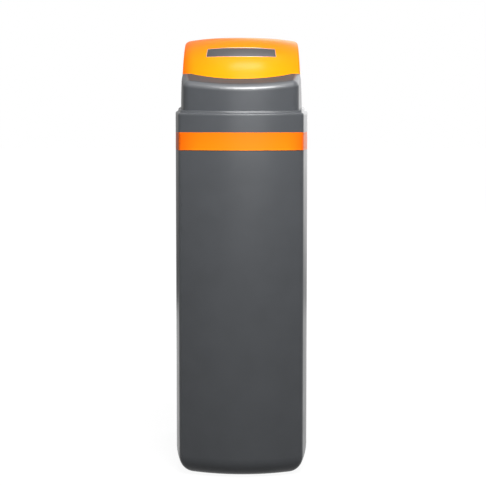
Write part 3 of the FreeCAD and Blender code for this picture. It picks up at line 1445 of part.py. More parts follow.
def make_drain_elbow():
    """The drain elbow: a stub on the boss, a turn to the back and a hose barb."""
    stub_top = DRAIN_FOOT + S.drain_rise
    stub = cylinder("drain_stub", S.drain_tube_radius, S.drain_rise, 0, DRAIN_Y, DRAIN_FOOT)
    heel = DOC.addObject("Part::Sphere", "drain_heel")
    bind(heel, "Radius", S.drain_tube_radius)
    place(heel, 0, DRAIN_Y, stub_top)
    flange = cylinder("drain_flange", S.drain_boss_radius, S.drain_nut_height / 4, 0, DRAIN_Y, DRAIN_FOOT)
    arm = cylinder("drain_arm", S.drain_tube_radius, S.drain_reach - S.barb_length, 0, DRAIN_Y, stub_top,
                   TO_REAR)
    barb = turned("drain_barb", barb_profile(S.barb_length))
    place(barb, 0, DRAIN_Y + S.drain_reach - S.barb_length, stub_top, TO_REAR)
    bore = cylinder("drain_bore", S.barb_radius / 2, S.barb_length * 2, 0,
                    DRAIN_Y + S.drain_reach - S.barb_length * 2, stub_top, TO_REAR)
    solid = fuse("drain_solid", stub, heel, flange, arm, barb)
    return node(cut("drain_bored", solid, bore), "drain_elbow")


def barb_profile(length):
    """A hose barb: a plain stem with two sharp rings near its mouth."""
    stem, ring_radius = as_dim(S.barb_radius), S.barb_radius + S.axle_radius / 2
    return [(0, 0), (stem, 0), (stem, length * 0.6), (ring_radius, length * 0.6), (stem, length * 0.78),
            (ring_radius, length * 0.78), (stem, length), (0, length)]


def make_drain_nut():
    """The nut that holds the drain elbow on its boss."""
    foot = DRAIN_FOOT + S.drain_nut_height / 4 + S.fit_gap - S.drain_nut_height
    outer = S.drain_nut_radius
    nut = turned("drain_nut", [
        (S.drain_boss_radius + S.fit_gap, 0), (outer, 0, S.axle_radius / 2),
        (outer, S.drain_nut_height + S.axle_radius, S.axle_radius),
        (S.drain_tube_radius + S.fit_gap, S.drain_nut_height + S.axle_radius),
        (S.drain_tube_radius + S.fit_gap, S.drain_nut_height),
        (S.drain_boss_radius + S.fit_gap, S.drain_nut_height)])
    return node(place(nut, 0, DRAIN_Y, foot), "drain_nut")


def make_brine_elbow():
    """The brine elbow on the left-hand boss: out to the side, then forward."""
    reach = S.brine_port_reach - S.side_boss_reach
    arm = cylinder("brine_arm", S.brine_elbow_radius, reach, -S.side_boss_reach, BOSS_Y, PORT_Z, TO_LEFT)
    flange = cylinder("brine_flange", S.side_boss_radius, S.plate_arch, -S.side_boss_reach, BOSS_Y, PORT_Z,
                      TO_LEFT)
    heel = DOC.addObject("Part::Sphere", "brine_heel")
    bind(heel, "Radius", S.brine_elbow_radius)
    place(heel, -S.brine_port_reach, BOSS_Y, PORT_Z)
    mouth = cylinder("brine_mouth", S.brine_elbow_radius, S.brine_nut_length, -S.brine_port_reach, BOSS_Y,
                     PORT_Z, TO_FRONT)
    return node(fuse("brine_elbow_whole", arm, flange, heel, mouth), "brine_elbow")


def make_brine_nut():
    """The nut that clamps the brine line in its elbow."""
    nut = turned("brine_nut_body", [
        (S.brine_line_radius + S.fit_gap, 0), (S.brine_nut_radius, 0, S.axle_radius / 2),
        (S.brine_nut_radius, S.brine_nut_length * 0.7, S.axle_radius),
        (S.brine_line_radius + S.fit_gap, S.brine_nut_length)])
    return node(place(nut, -S.brine_port_reach, BRINE_MOUTH_Y, PORT_Z, TO_FRONT), "brine_nut")


def make_brine_line():
    """The brine line from the well's valve, up through the cap and back to the elbow."""
    start = FreeCAD.Vector(S.well_x.value, WELL_Y.value, BRINE_VALVE_TOP.value)
    end = FreeCAD.Vector(-S.brine_port_reach.value, BRINE_MOUTH_Y.value, PORT_Z.value)
    rise = BASE_FRONT.value - start.z
    first = FreeCAD.Vector(start.x, start.y, start.z + rise)
    second = FreeCAD.Vector(end.x, (start.y + end.y) / 2 + S.brine_nut_length.value, end.z)
    route = [start, first, second, end]
    share = S.brine_line_bend_share.value
    edges, at = [], start
    for before, corner, after in zip(route, route[1:], route[2:]):
        run = min((corner - before).Length, (after - corner).Length)
        turn = (corner - before).getAngle(after - corner)
        radius = share * run / math.tan(turn / 2)
        leave = corner + (before - corner).normalize() * (share * run)
        join = corner + (after - corner).normalize() * (share * run)
        chord_middle = (leave + join) / 2
        toward = (chord_middle - corner).normalize()
        hub = math.hypot(radius, share * run)
        middle = corner + toward * (hub - radius)
        print("brine line bend radius %.1f" % radius)
        edges += [Part.LineSegment(at, leave).toShape(), Part.Arc(leave, middle, join).toShape()]
        at = join
    edges.append(Part.LineSegment(at, end).toShape())
    spine = Part.Wire(edges)
    section = Part.Wire([Part.Circle(start, FreeCAD.Vector(0, 0, 1), S.brine_line_radius.value).toShape()])
    tube = spine.makePipeShell([section], True, False)
    line = DOC.addObject("Part::Feature", "brine_line_tube")
    line.Shape = tube
    expected = math.pi * S.brine_line_radius.value ** 2 * spine.Length
    print("brine line length %.1f, volume over section times length %.4f" % (
        spine.Length, tube.Volume / expected))
    return node(line, "brine_line")


def make_turbine():
    """The flow meter's turbine in the outlet port."""
    hub = cylinder("turbine_hub", S.turbine_radius / 3, S.turbine_length, PORT_X, TURBINE_Y, PORT_Z, TO_REAR)
    blades = []
    for index in range(int(S.turbine_blades.value)):
        blade = DOC.addObject("Part::Box", "turbine_blade_%d" % index)
        bind(blade, "Length", S.turbine_radius - S.running_gap)
        bind(blade, "Width", S.turbine_shaft_radius)
        bind(blade, "Height", S.turbine_length)
        spin = FreeCAD.Rotation(FreeCAD.Vector(1, 0, 0), -90) * FreeCAD.Rotation(
            FreeCAD.Vector(0, 0, 1), 360.0 * index / S.turbine_blades.value)
        place_turned(blade, PORT_X, TURBINE_Y, PORT_Z, spin)
        blades.append(blade)
    bore = cylinder("turbine_bore", S.turbine_shaft_radius + S.running_gap, S.turbine_length * 3, PORT_X,
                    TURBINE_Y - S.turbine_length, PORT_Z, TO_REAR)
    wheel = fuse("turbine_wheel", hub, *blades)
    return node(cut("turbine_bored", wheel, bore), "meter_turbine")


def make_turbine_cage():
    """The cage in the port that carries the turbine on a fixed shaft."""
    y = TURBINE_Y + S.turbine_length + S.fit_gap
    rim = turned("cage_rim", [(S.port_bore - S.gear_module * 2, 0), (S.port_bore - S.running_gap, 0),
                              (S.port_bore - S.running_gap, S.cage_length),
                              (S.port_bore - S.gear_module * 2, S.cage_length)])
    place(rim, PORT_X, y, PORT_Z, TO_REAR)
    across, thick = S.port_bore * 2 - S.gear_module * 2, S.gear_module * 2
    bars = [block("cage_bar_0", across, S.cage_length, thick, PORT_X, y, PORT_Z - S.gear_module),
            block("cage_bar_1", thick, S.cage_length, across, PORT_X, y,
                  PORT_Z - S.port_bore + S.gear_module)]
    shaft = cylinder("turbine_shaft", S.turbine_shaft_radius,
                     S.turbine_length + S.cage_length + S.fit_gap * 2,
                     PORT_X, TURBINE_Y - S.fit_gap, PORT_Z, TO_REAR)
    return node(fuse("cage_whole", rim, shaft, *bars), "turbine_cage")


def make_bypass():
    """The bypass: two upright valve barrels on through pipes, with a link between them."""
    parts, bores = [], []
    foot = PORT_Z - S.bypass_barrel_height / 2
    for index, sign in enumerate((-1, 1)):
        x = sign * PORT_X
        parts += [
            cylinder("bypass_pipe_%d" % index, S.port_radius, S.bypass_length, x, PORT_END, PORT_Z, TO_REAR),
            cylinder("bypass_barrel_%d" % index, S.bypass_barrel_radius, S.bypass_barrel_height, x,
                     BYPASS_Y, foot)]
        bores += [
            cylinder("bypass_bore_%d" % index, S.port_bore, S.bypass_length / 4, x,
                     BYPASS_END - S.bypass_length / 4, PORT_Z, TO_REAR),
            cylinder("bypass_inlet_bore_%d" % index, S.port_bore, S.bypass_length / 4, x, PORT_END,
                     PORT_Z, TO_REAR),
            cylinder("spindle_bore_%d" % index, S.spindle_radius + S.running_gap,
                     S.spindle_depth + S.fit_gap, x, BYPASS_Y,
                     foot + S.bypass_barrel_height - S.spindle_depth - S.fit_gap)]
    link = cylinder("bypass_link", S.bypass_link_radius, S.port_spacing, -PORT_X, BYPASS_Y, PORT_Z, TO_RIGHT)
    return node(cut("bypass_bored", fuse("bypass_solid", link, *parts), *bores), "bypass_body")


def make_handle(side, label):
    """A bypass handle: a round hub, a lever toward the front and a spindle down into its barrel."""
    x = side * PORT_X
    foot = PORT_Z + S.bypass_barrel_height / 2 + S.fit_gap
    hub = turned(label + "_hub", [(0, 0), (S.handle_hub_radius, 0),
                                  (S.handle_hub_radius, S.handle_hub_height, S.axle_radius),
                                  (0, S.handle_hub_height)])
    place(hub, x, BYPASS_Y, foot)
    lever = prism(label + "_lever", "XY_Plane", [
        (-(S.handle_width / 2), 0), (S.handle_width / 2, 0),
        (S.handle_width * 0.38, -S.handle_length, S.handle_width / 4),
        (-(S.handle_width * 0.38), -S.handle_length, S.handle_width / 4)][::-1], S.handle_thickness)
    place(lever, x, BYPASS_Y, foot + S.handle_hub_height - S.handle_thickness)
    spindle = cylinder(label + "_spindle", S.spindle_radius, S.spindle_depth, x, BYPASS_Y,
                       foot - S.spindle_depth)
    return node(fuse(label + "_whole", hub, lever, spindle), label)


def make_port_clips():
    """Two clips round the joints between the valve's ports and the bypass."""
    clips = []
    for index, sign in enumerate((-1, 1)):
        inner, outer = S.port_radius + S.fit_gap, S.port_radius + S.plate_arch
        clip = turned("port_clip_%d" % index, [(inner, 0), (outer, 0), (outer, S.clip_length),
                                               (inner, S.clip_length)])
        clips.append(place(clip, sign * PORT_X, PORT_END - S.clip_length / 2, PORT_Z, TO_REAR))
    return node(fuse("port_clips_pair", *clips), "port_clips")


def make_tailpiece(side, label):
    """A tailpiece: a flanged pipe stub with a plain bore, held by its union nut."""
    neck, length = S.tail_radius - S.fit_gap, BACK + S.connection_reach - BYPASS_END
    neck_end = S.tail_flange_length + S.nut_lip * 2
    tail = turned(label + "_pipe", [
        (S.tail_bore, 0), (S.tail_flange_radius, 0), (S.tail_flange_radius, S.tail_flange_length),
        (neck, S.tail_flange_length), (neck, neck_end), (S.tail_radius, neck_end), (S.tail_radius, length),
        (S.tail_bore, length)])
    return node(place(tail, side * PORT_X, BYPASS_END, PORT_Z, TO_REAR), label)


def make_union_nut(side, label):
    """A union nut round a tailpiece's flange, screwed over the bypass pipe's end."""
    foot = BYPASS_END + S.tail_flange_length + S.fit_gap + S.nut_lip - S.nut_length
    body, rim = hex_nut(label + "_blank", S.nut_radius * 2, S.nut_length, S.port_radius + S.fit_gap,
                        S.tail_flange_length / 2)
    place(body, side * PORT_X, foot, PORT_Z, TO_REAR)
    place(rim, side * PORT_X, foot, PORT_Z, TO_REAR)
    lip = turned(label + "_lip", [
        (S.tail_radius + S.fit_gap, 0), (S.nut_radius - S.nut_lip / 2, 0),
        (S.nut_radius - S.nut_lip / 2, S.nut_lip), (S.tail_radius + S.fit_gap, S.nut_lip)])
    place(lip, side * PORT_X, foot + S.nut_length - S.nut_lip, PORT_Z, TO_REAR)
    return node(fuse(label + "_whole", common(label + "_trimmed", body, rim), lip), label)


def make_gland():
    """The bare grommet in the hood's back where the low-voltage lead goes in."""
    flange, wall = S.gland_radius + S.plate_arch, S.hood_wall
    gland = turned("gland", [
        (S.gland_radius / 2, 0), (flange, 0), (flange, S.plate_arch / 2), (S.gland_radius, S.plate_arch / 2),
        (S.gland_radius, S.plate_arch / 2 + wall + S.ledge_width / 4),
        (S.gland_radius / 2, S.plate_arch / 2 + wall + S.ledge_width / 4)])
    inner_face = HOOD_BACK - wall - S.plate_arch / 2 - S.fit_gap
    return node(place(gland, GLAND_X, inner_face, PORT_Z, TO_REAR), "lead_grommet")


def make_well():
    """The brine well: an upright tube with brine holes near its foot."""
    tube = turned("well_tube", [
        (S.well_radius - S.well_wall, 0), (S.well_radius, 0), (S.well_radius, WELL_HEIGHT),
        (S.well_radius - S.well_wall, WELL_HEIGHT)])
    place(tube, S.well_x, WELL_Y, S.tub_floor)
    step = S.well_radius / 2
    holes = [cylinder("brine_hole_%d" % i, S.brine_line_radius, S.well_radius * 3,
                      S.well_x - S.well_radius * 1.5, WELL_Y, S.tub_floor + step * (i + 1), TO_RIGHT)
             for i in range(3)]
    return node(cut("well_bored", tube, *holes), "brine_well")


def make_well_cap():
    """The lift-off cap of the brine well, with a hole for the brine line."""
    inner = S.well_radius + S.fit_gap
    outer = inner + S.well_cap_wall
    height, wall = S.well_cap_height, S.well_cap_wall
    cap = turned("well_cap_body", [
        (S.brine_line_radius + S.fit_gap * 2, height - wall), (inner, height - wall), (inner, 0), (outer, 0),
        (outer, height, wall), (S.brine_line_radius + S.fit_gap * 2, height)])
    foot = S.tub_floor + WELL_HEIGHT - height + wall + S.fit_gap
    return node(place(cap, S.well_x, WELL_Y, foot), "well_cap")


def make_brine_valve():
    """The safety brine valve in the well: a body on a cross bar that rests in the tube's wall."""
    radius, height = S.brine_valve_radius, S.brine_valve_height
    body = turned("brine_valve_body", [
        (0, 0), (radius, 0, S.axle_radius), (radius, height, S.axle_radius * 2), (0, height)])
    place(body, S.well_x, WELL_Y, BRINE_VALVE_TOP - S.brine_valve_height)
    foot = BRINE_VALVE_TOP - S.brine_valve_height * 0.75
    bar = common("brine_valve_bar", block("brine_valve_beam", S.well_radius * 2, S.brine_valve_radius,
                 S.brine_valve_height / 2, S.well_x, WELL_Y - S.brine_valve_radius / 2, foot),
                 cylinder("brine_valve_fit", S.well_radius - S.well_wall - S.fit_gap, S.brine_valve_height,
                          S.well_x, WELL_Y, foot))
    rod_hole = cylinder("float_rod_hole", S.float_rod_radius + S.running_gap, S.brine_valve_height * 3,
                        S.well_x + S.float_offset, WELL_Y, foot - S.brine_valve_height)
    draw_hole = cylinder("draw_tube_hole", S.brine_line_radius + S.running_gap, S.brine_valve_height / 4,
                         S.well_x - S.draw_tube_offset - S.brine_line_radius, WELL_Y, foot)
    solid = fuse("brine_valve_solid", body, bar)
    return node(cut("brine_valve_bored", solid, rod_hole, draw_hole), "brine_valve")


def make_draw_tube():
    """The straight tube from the safety valve down to the air check."""
    foot = S.tub_floor + S.air_check_lift + S.air_check_height * 0.6
    head = BRINE_VALVE_TOP - S.brine_valve_height * 0.5
    tube = cylinder("draw_tube_bar", S.brine_line_radius, head - foot - S.fit_gap,
                    S.well_x - S.draw_tube_offset - S.brine_line_radius, WELL_Y, foot)
    return node(tube, "draw_tube")


def make_air_check():
    """The air check at the foot of the draw tube: a slotted cage that lets brine in."""
    check = turned("air_check_body", [
        (0, 0), (S.air_check_radius, 0), (S.air_check_radius, S.air_check_height * 0.7),
        (S.brine_line_radius * 1.6, S.air_check_height), (0, S.air_check_height)])
    x = S.well_x - S.draw_tube_offset - S.brine_line_radius
    place(check, x, WELL_Y, S.tub_floor + S.air_check_lift)
    socket = cylinder("air_check_socket", S.brine_line_radius + S.running_gap, S.air_check_height, x, WELL_Y,
                      S.tub_floor + S.air_check_lift + S.air_check_height * 0.6 - S.fit_gap)
    slot_width, slot_foot = S.axle_radius, S.tub_floor + S.air_check_lift + S.air_check_height * 0.1
    slots = [block("air_check_slot_%d" % i, S.air_check_radius * 3, slot_width, S.air_check_height * 0.4, x,
                   WELL_Y + (i - 1) * slot_width * 3 - slot_width / 2, slot_foot) for i in range(3)]
    return node(cut("air_check_cut", check, socket, *slots), "air_check")


def make_float():
    """The float, a capsule fixed on its rod."""
    hole = S.float_rod_radius
    corner = S.float_radius / 2
    body = turned("float_body", [
        (hole, 0), (S.float_radius, 0, corner), (S.float_radius, S.float_height, corner),
        (hole, S.float_height)])
    return node(place(body, S.well_x + S.float_offset, WELL_Y, S.tub_floor + S.float_rise), "float")


def make_float_rod():
    """The float's rod, which slides in the safety valve's bar."""
    foot = S.tub_floor + S.float_rise - S.float_height / 2
    length = BRINE_VALVE_TOP - S.brine_valve_height / 4 + S.running_gap - foot
    rod = turned("float_rod_bar", [
        (0, 0), (S.float_rod_radius, 0), (S.float_rod_radius, length), (S.float_head_radius, length),
        (S.float_head_radius, length + S.float_head_height), (0, length + S.float_head_height)])
    return node(place(rod, S.well_x + S.float_offset, WELL_Y, foot), "float_rod")


def make_overflow():
    """The overflow elbow's straight stub through the tub's back wall, with an outer flange."""
    y = BACK - S.tub_wall - S.overflow_nut_length - S.fit_gap
    reach = BACK + S.connection_reach - S.barb_length / 2 - y
    wall_end = BACK - y
    stub = turned("overflow_stub", [
        (S.overflow_bore, 0), (S.overflow_radius, 0), (S.overflow_radius, wall_end),
        (S.overflow_flange_radius, wall_end), (S.overflow_flange_radius, wall_end + S.overflow_flange),
        (S.overflow_radius, wall_end + S.overflow_flange), (S.overflow_radius, reach),
        (S.overflow_bore, reach)])
    return node(place(stub, OVERFLOW_X, y, OVERFLOW_Z, TO_REAR), "overflow_stub")


def make_overflow_nut():
    """The nut that clamps the overflow stub from inside the tub."""
    body, rim = hex_nut("overflow_nut_blank", S.overflow_nut_radius * 2, S.overflow_nut_length,
                        S.overflow_radius + S.running_gap, S.overflow_flange / 2)
    y = BACK - S.tub_wall - S.overflow_nut_length
    place(body, OVERFLOW_X, y, OVERFLOW_Z, TO_REAR)
    place(rim, OVERFLOW_X, y, OVERFLOW_Z, TO_REAR)
    return node(common("overflow_nut_trimmed", body, rim), "overflow_nut")


def build():
    """Makes every sub-part."""
    for maker in (make_tub, make_band, make_deck, make_hood, make_lid, make_name_plate, make_rear_cover,
                  make_hinge_pins, make_vessel, make_boot, make_gravel, make_media, make_strainer,
                  make_riser, make_basket, make_valve_body, make_neck_seal, make_seal_stack,
                  make_valve_plug, make_piston, make_bracket, make_main_gear, make_reduction_gear,
                  make_axle, make_pinion, make_motor, make_board, make_display, make_valve_cover):
        maker()
    for index in range(int(S.button_count.value)):
        make_button(index)
    for maker in (make_injector, make_injector_cap, make_drain_elbow, make_drain_nut, make_brine_elbow,
                  make_brine_nut, make_brine_line, make_turbine, make_turbine_cage, make_bypass):
        maker()
    make_handle(-1, "inlet_handle")
    make_handle(1, "outlet_handle")
    make_port_clips()
    for side, name in ((-1, "inlet"), (1, "outlet")):
        make_tailpiece(side, name + "_tailpiece")
        make_union_nut(side, name + "_union_nut")
    for maker in (make_gland, make_well, make_well_cap, make_brine_valve, make_draw_tube, make_air_check,
                  make_float, make_float_rod, make_overflow, make_overflow_nut):
        maker()


def check_and_write():
    """Stops on any failed feature or faulty solid, then writes one file for each sub-part."""
    DOC.recompute()
    failed = [thing.Name for thing in DOC.Objects if "Invalid" in thing.State or "Error" in thing.State]
    if failed:
        raise RuntimeError("features failed: " + ", ".join(failed))
    for thing in NODES:
        shape = thing.Shape
        if shape.isNull() or not shape.isValid() or not shape.Solids:
            raise RuntimeError("faulty sub-part: " + thing.Label)
    os.makedirs("parts", exist_ok=True)
    for thing in NODES:
        thing.Shape.exportStep("parts/%s.step" % thing.Label)
    print("%d sub-parts written" % len(NODES))


build()
check_and_write()
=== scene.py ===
"""Looks of a cabinet water filter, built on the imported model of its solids.

Sizes and places are in metres, and turns are in degrees.
"""

import json
import logging
import math
from dataclasses import dataclass
from enum import Enum
from functools import cached_property
from typing import Sequence

import bmesh
import bpy
import numpy as np
from bpy.types import Material, Node, NodeSocket as Socket, Object, World
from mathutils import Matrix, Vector

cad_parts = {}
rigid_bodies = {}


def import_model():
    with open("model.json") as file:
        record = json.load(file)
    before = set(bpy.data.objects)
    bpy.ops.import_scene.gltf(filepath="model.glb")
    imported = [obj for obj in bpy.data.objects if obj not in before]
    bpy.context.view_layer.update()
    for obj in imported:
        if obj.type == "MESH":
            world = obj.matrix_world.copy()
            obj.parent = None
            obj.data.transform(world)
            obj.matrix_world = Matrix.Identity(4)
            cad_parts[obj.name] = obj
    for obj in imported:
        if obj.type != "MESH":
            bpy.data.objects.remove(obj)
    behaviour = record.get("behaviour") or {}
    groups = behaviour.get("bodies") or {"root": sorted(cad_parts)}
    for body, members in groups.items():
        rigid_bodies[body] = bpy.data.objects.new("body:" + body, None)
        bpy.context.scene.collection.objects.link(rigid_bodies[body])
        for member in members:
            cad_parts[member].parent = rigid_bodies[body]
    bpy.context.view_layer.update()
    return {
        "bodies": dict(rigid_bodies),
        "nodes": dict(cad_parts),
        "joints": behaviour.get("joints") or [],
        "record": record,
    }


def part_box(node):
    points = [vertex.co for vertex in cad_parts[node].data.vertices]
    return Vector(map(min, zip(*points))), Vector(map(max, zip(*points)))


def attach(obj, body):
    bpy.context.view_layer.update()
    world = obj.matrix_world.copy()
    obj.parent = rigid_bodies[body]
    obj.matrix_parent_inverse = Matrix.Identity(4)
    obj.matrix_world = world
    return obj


LOG = logging.getLogger("cabinet")

Triple = tuple[float, float, float]
Span = tuple[float, float]
Ramp = tuple[Span, Span]
Levels = Sequence[Span]

# Sizes that the solids have too: the lid's bow and round, and the foot of the orange band
LID_AXIS_Y = 0.051
NOSE_RADIUS = 0.110
NOSE_ROUND = (0.130, 1.019)
BAND_FOOT = 0.837

# How far the foot of a fine piece goes into the solid that it stands on
SINK = 0.0002

# Ranges of a value between 0 and 1: all of it, and the middle of a noise
WHOLE = (0.0, 1.0)
MIDDLE = (0.3, 0.7)

# Directions in the frame
FRONT = (0.0, -1.0, 0.0)
BACK = (0.0, 1.0, 0.0)
RIGHT = (1.0, 0.0, 0.0)
UP = (0.0, 0.0, 1.0)


class Body(Enum):
    """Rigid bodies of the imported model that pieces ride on."""

    CABINET = "cabinet"
    LID = "lid"
    INLET_HANDLE = "inlet_handle"
    OUTLET_HANDLE = "outlet_handle"
    WELL_CAP = "well_cap"


class Graph:
    """A node tree, with short calls for the nodes used here."""

    def __init__(self, owner: Material | World, place: str = "Object") -> None:
        """Empties the owner's node tree and adds its coordinates.

        Args:
            owner: a new material or world.
            place: Blender's name of the coordinates.
        """
        self.owner = owner
        self.owner.use_nodes = True
        self.tree = self.owner.node_tree
        self.tree.nodes.clear()
        self.place = self.add("ShaderNodeTexCoord").outputs[place]

    def add(self, kind: str, inputs: dict[str | int, object] | None = None,
            **settings: object) -> Node:
        """Adds a node, sets its plain properties and feeds its inputs.

        Args:
            kind: Blender's name of the node.
            inputs: what each input gets, under its name or number.
            settings: property names and values.

        Returns:
            The new node.
        """
        node = self.tree.nodes.new(kind)
        for key, value in settings.items():
            setattr(node, key, value)
        for key, value in (inputs or {}).items():
            self.feed(node.inputs[key], value)
        return node

    def feed(self, target: Socket, value: object) -> None:
        """Gives an input what it works with.

        Args:
            target: the input.
            value: another node's output, a colour, a direction or a number.
        """
        if isinstance(value, Socket):
            self.tree.links.new(value, target)
        else:
            target.default_value = (*value, 1.0) if target.type == "RGBA" else value

    def moved(self, scale: Triple = (1.0, 1.0, 1.0), turn: Triple = (0.0, 0.0, 0.0)) -> Socket:
        """Gives the coordinates stretched along each axis and turned about each axis, in radians."""
        node = self.add("ShaderNodeMapping", {"Vector": self.place, "Scale": scale, "Rotation": turn})
        return node.outputs["Vector"]

    def noise(self, scale: float, detail: float = 4.0, place: Socket | None = None) -> Socket:
        """Gives cloudy noise between 0 and 1: cells in a metre, and layers of finer noise."""
        inputs = {"Scale": scale, "Detail": detail, "Vector": place or self.place}
        return self.add("ShaderNodeTexNoise", inputs).outputs["Fac"]

    def cells(self, scale: float, output: str = "Distance") -> Socket:
        """Gives rounded cells, such as beads or a moulded grain."""
        return self.add("ShaderNodeTexVoronoi", {"Scale": scale, "Vector": self.place}).outputs[output]

    def wave(self, scale: float, place: Socket | None = None, waver: float = 0.0) -> Socket:
        """Gives bands between 0 and 1 that lie one above the other, straight or wavering."""
        inputs = {"Scale": scale, "Distortion": waver, "Vector": place or self.place}
        return self.add("ShaderNodeTexWave", inputs, bands_direction="Z").outputs["Fac"]

    def spread(self, source: Socket, span: Span, to: Span = WHOLE, smooth: bool = False) -> Socket:
        """Stretches a value from one range to another, straight or with eased ends."""
        inputs = {"Value": source, "From Min": span[0], "From Max": span[1], "To Min": to[0], "To Max": to[1]}
        return self.add("ShaderNodeMapRange", inputs,
                        interpolation_type="SMOOTHSTEP" if smooth else "LINEAR").outputs["Result"]

    def axis(self, name: str) -> Socket:
        """Gives one of the coordinates: X, Y or Z."""
        return self.add("ShaderNodeSeparateXYZ", {"Vector": self.place}).outputs[name]

    def maths(self, operation: str, first: Socket, second: Socket | float) -> Socket:
        """Joins two values by one sum."""
        return self.add("ShaderNodeMath", {0: first, 1: second}, operation=operation).outputs[0]

    def blend(self, share: Socket, first: object, second: object) -> Socket:
        """Mixes two colours, each a colour or an output: the first where the share is 0."""
        return self.add("ShaderNodeMix", {"Factor": share, 6: first, 7: second}, data_type="RGBA").outputs[2]

    def seen(self) -> Socket:
        """Gives 1 where the camera, a reflection or a look through glass meets the surface."""
        rays = self.add("ShaderNodeLightPath").outputs
        direct = self.maths("MAXIMUM", rays["Is Camera Ray"], rays["Is Glossy Ray"])
        return self.maths("MAXIMUM", direct, rays["Is Transmission Ray"])

    def show(self, shader: Node, kind: str = "ShaderNodeOutputMaterial") -> None:
        """Gives a shader to a new output node."""
        self.add(kind, {"Surface": shader.outputs[0]})


class Paint(Graph):
    """A new material's nodes, with one shader that the finishes feed."""

    def __init__(self, name: str) -> None:
        """Starts the material under its name."""
        super().__init__(bpy.data.materials.new(name))
        self.shader = self.add("ShaderNodeBsdfPrincipled")
        self.show(self.shader)

    def relief(self, height: Socket, depth: float, strength: float) -> None:
        """Bumps the surface by a height between 0 and 1, times what 1 is worth, at a strength."""
        bump = self.add("ShaderNodeBump", {"Height": height, "Distance": depth, "Strength": strength})
        self.feed(self.shader.inputs["Normal"], bump.outputs["Normal"])

    def finished(self, **values: object) -> Material:
        """Feeds the shader's own inputs and gives the material; an underscore stands for a space."""
        for key, value in values.items():
            self.feed(self.shader.inputs[key.replace("_", " ")], value)
        return self.owner


def toned(colour: Triple, share: float) -> Triple:
    """Gives a colour times a share, never past full."""
    return tuple(min(1.0, part * share) for part in colour)


@dataclass(frozen=True)
class Moulded:
    """Moulded plastic: a fine eroded grain, faint flow clouds and a slightly uneven sheen."""

    name: str
    colour: Triple
    roughness: float = 0.42
    grain: float = 900.0
    depth: float = 0.00006
    clouds: float = 0.06
    coat: float = 0.0
    subsurface: float = 0.0
    gloss: float = 0.5
    bump: float = 0.35
    # joint: height of a joint; below it, painted shade stands in for the shadow in the gap
    joint: float | None = None
    painted_gap_shade_depth: float = 0.0024
    painted_gap_shade: float = 0.25
    pit_share: float = 1.7
    cloud_scale: float = 14.0
    streak_scale: float = 40.0
    streak: Triple = (1.0, 1.0, 0.4)
    uneven: float = 0.02
    coat_roughness: float = 0.08
    light_depth: Triple = (0.004, 0.003, 0.002)

    def material(self) -> Material:
        """Builds the finish: colour plus or minus the clouds, and a grain from cells and noise.

        Where a joint's height is given, the last millimetres below it are darkened with painted shade, as
        dark as the shadow in the gap there.

        Returns:
            The material.
        """
        graph = Paint(self.name)
        cloud = graph.spread(graph.noise(self.cloud_scale, detail=3.0), MIDDLE)
        dark, light = toned(self.colour, 1.0 - self.clouds), toned(self.colour, 1.0 + self.clouds)
        colour = graph.blend(cloud, dark, light)
        # Painted shade: the colour darkens just below the joint, standing in for the gap's shadow
        if self.joint is not None:
            height, foot = graph.axis("Z"), self.joint - self.painted_gap_shade_depth
            below = graph.spread(height, (foot, foot + self.painted_gap_shade_depth / 2), smooth=True)
            above = graph.spread(height, (self.joint, self.joint + self.painted_gap_shade_depth / 20), (1.0, 0.0))
            gap = graph.maths("MULTIPLY", below, above)
            colour = graph.blend(gap, colour, toned(self.colour, self.painted_gap_shade))
        streaks = graph.noise(self.streak_scale, detail=1.0, place=graph.moved(self.streak))
        rough = graph.spread(streaks, MIDDLE, (self.roughness - self.uneven, self.roughness + self.uneven))
        pits, fine = graph.cells(self.grain), graph.noise(self.grain * self.pit_share, detail=2.0)
        graph.relief(graph.maths("ADD", pits, fine), self.depth, self.bump)
        return graph.finished(Base_Color=colour, Roughness=rough, Specular_IOR_Level=self.shine(graph),
                              Coat_Weight=self.coat, Coat_Roughness=self.coat_roughness,
                              Subsurface_Weight=self.subsurface, Subsurface_Radius=self.light_depth)

    def shine(self, graph: Paint) -> Socket | float:
        """Gives an even gloss: a finish with dull or polished places replaces this."""
        return self.gloss


@dataclass(frozen=True)
class PolishedEdge(Moulded):
    """Moulded plastic whose rounded edge below a slope shines more than its faces."""

    tilt: float = 20.5
    plane: float = 1.0191
    full: float = 0.0015
    fade: Span = (0.0150, 0.0075)
    slope_gloss: float = 0.035
    edge_gloss: float = 0.86

    def shine(self, graph: Paint) -> Socket:
        """Works the gloss out from the depth under the slope's plane: little on it, much on the rounded edge.

        The level is the height times the tilt's cosine, less the distance back times its sine, less the
        plane's. The gloss grows to full just under the plane, and falls to the faces' own over the fade.

        Args:
            graph: the finish's nodes.

        Returns:
            The gloss.
        """
        turn = math.radians(self.tilt)
        rise = graph.maths("MULTIPLY", graph.axis("Z"), math.cos(turn))
        fall = graph.maths("MULTIPLY", graph.axis("Y"), -math.sin(turn))
        level = graph.maths("SUBTRACT", graph.maths("ADD", rise, fall), self.plane)
        start = graph.spread(level, (-self.full, 0.0), (self.edge_gloss, self.slope_gloss), True)
        end = graph.spread(level, (-self.fade[0], -self.fade[1]), (self.gloss / self.edge_gloss, 1.0), True)
        return graph.maths("MULTIPLY", start, end)


@dataclass(frozen=True)
class DullFoot(Moulded):
    """Moulded plastic with less gloss at a lower height and its full gloss from an upper one."""

    foot: float = 0.002
    above: float = 0.060
    foot_gloss: float = 0.08

    def shine(self, graph: Paint) -> Socket:
        """Works the gloss out from the height in the frame."""
        return graph.spread(graph.axis("Z"), (self.foot, self.above), (self.foot_gloss, self.gloss), True)


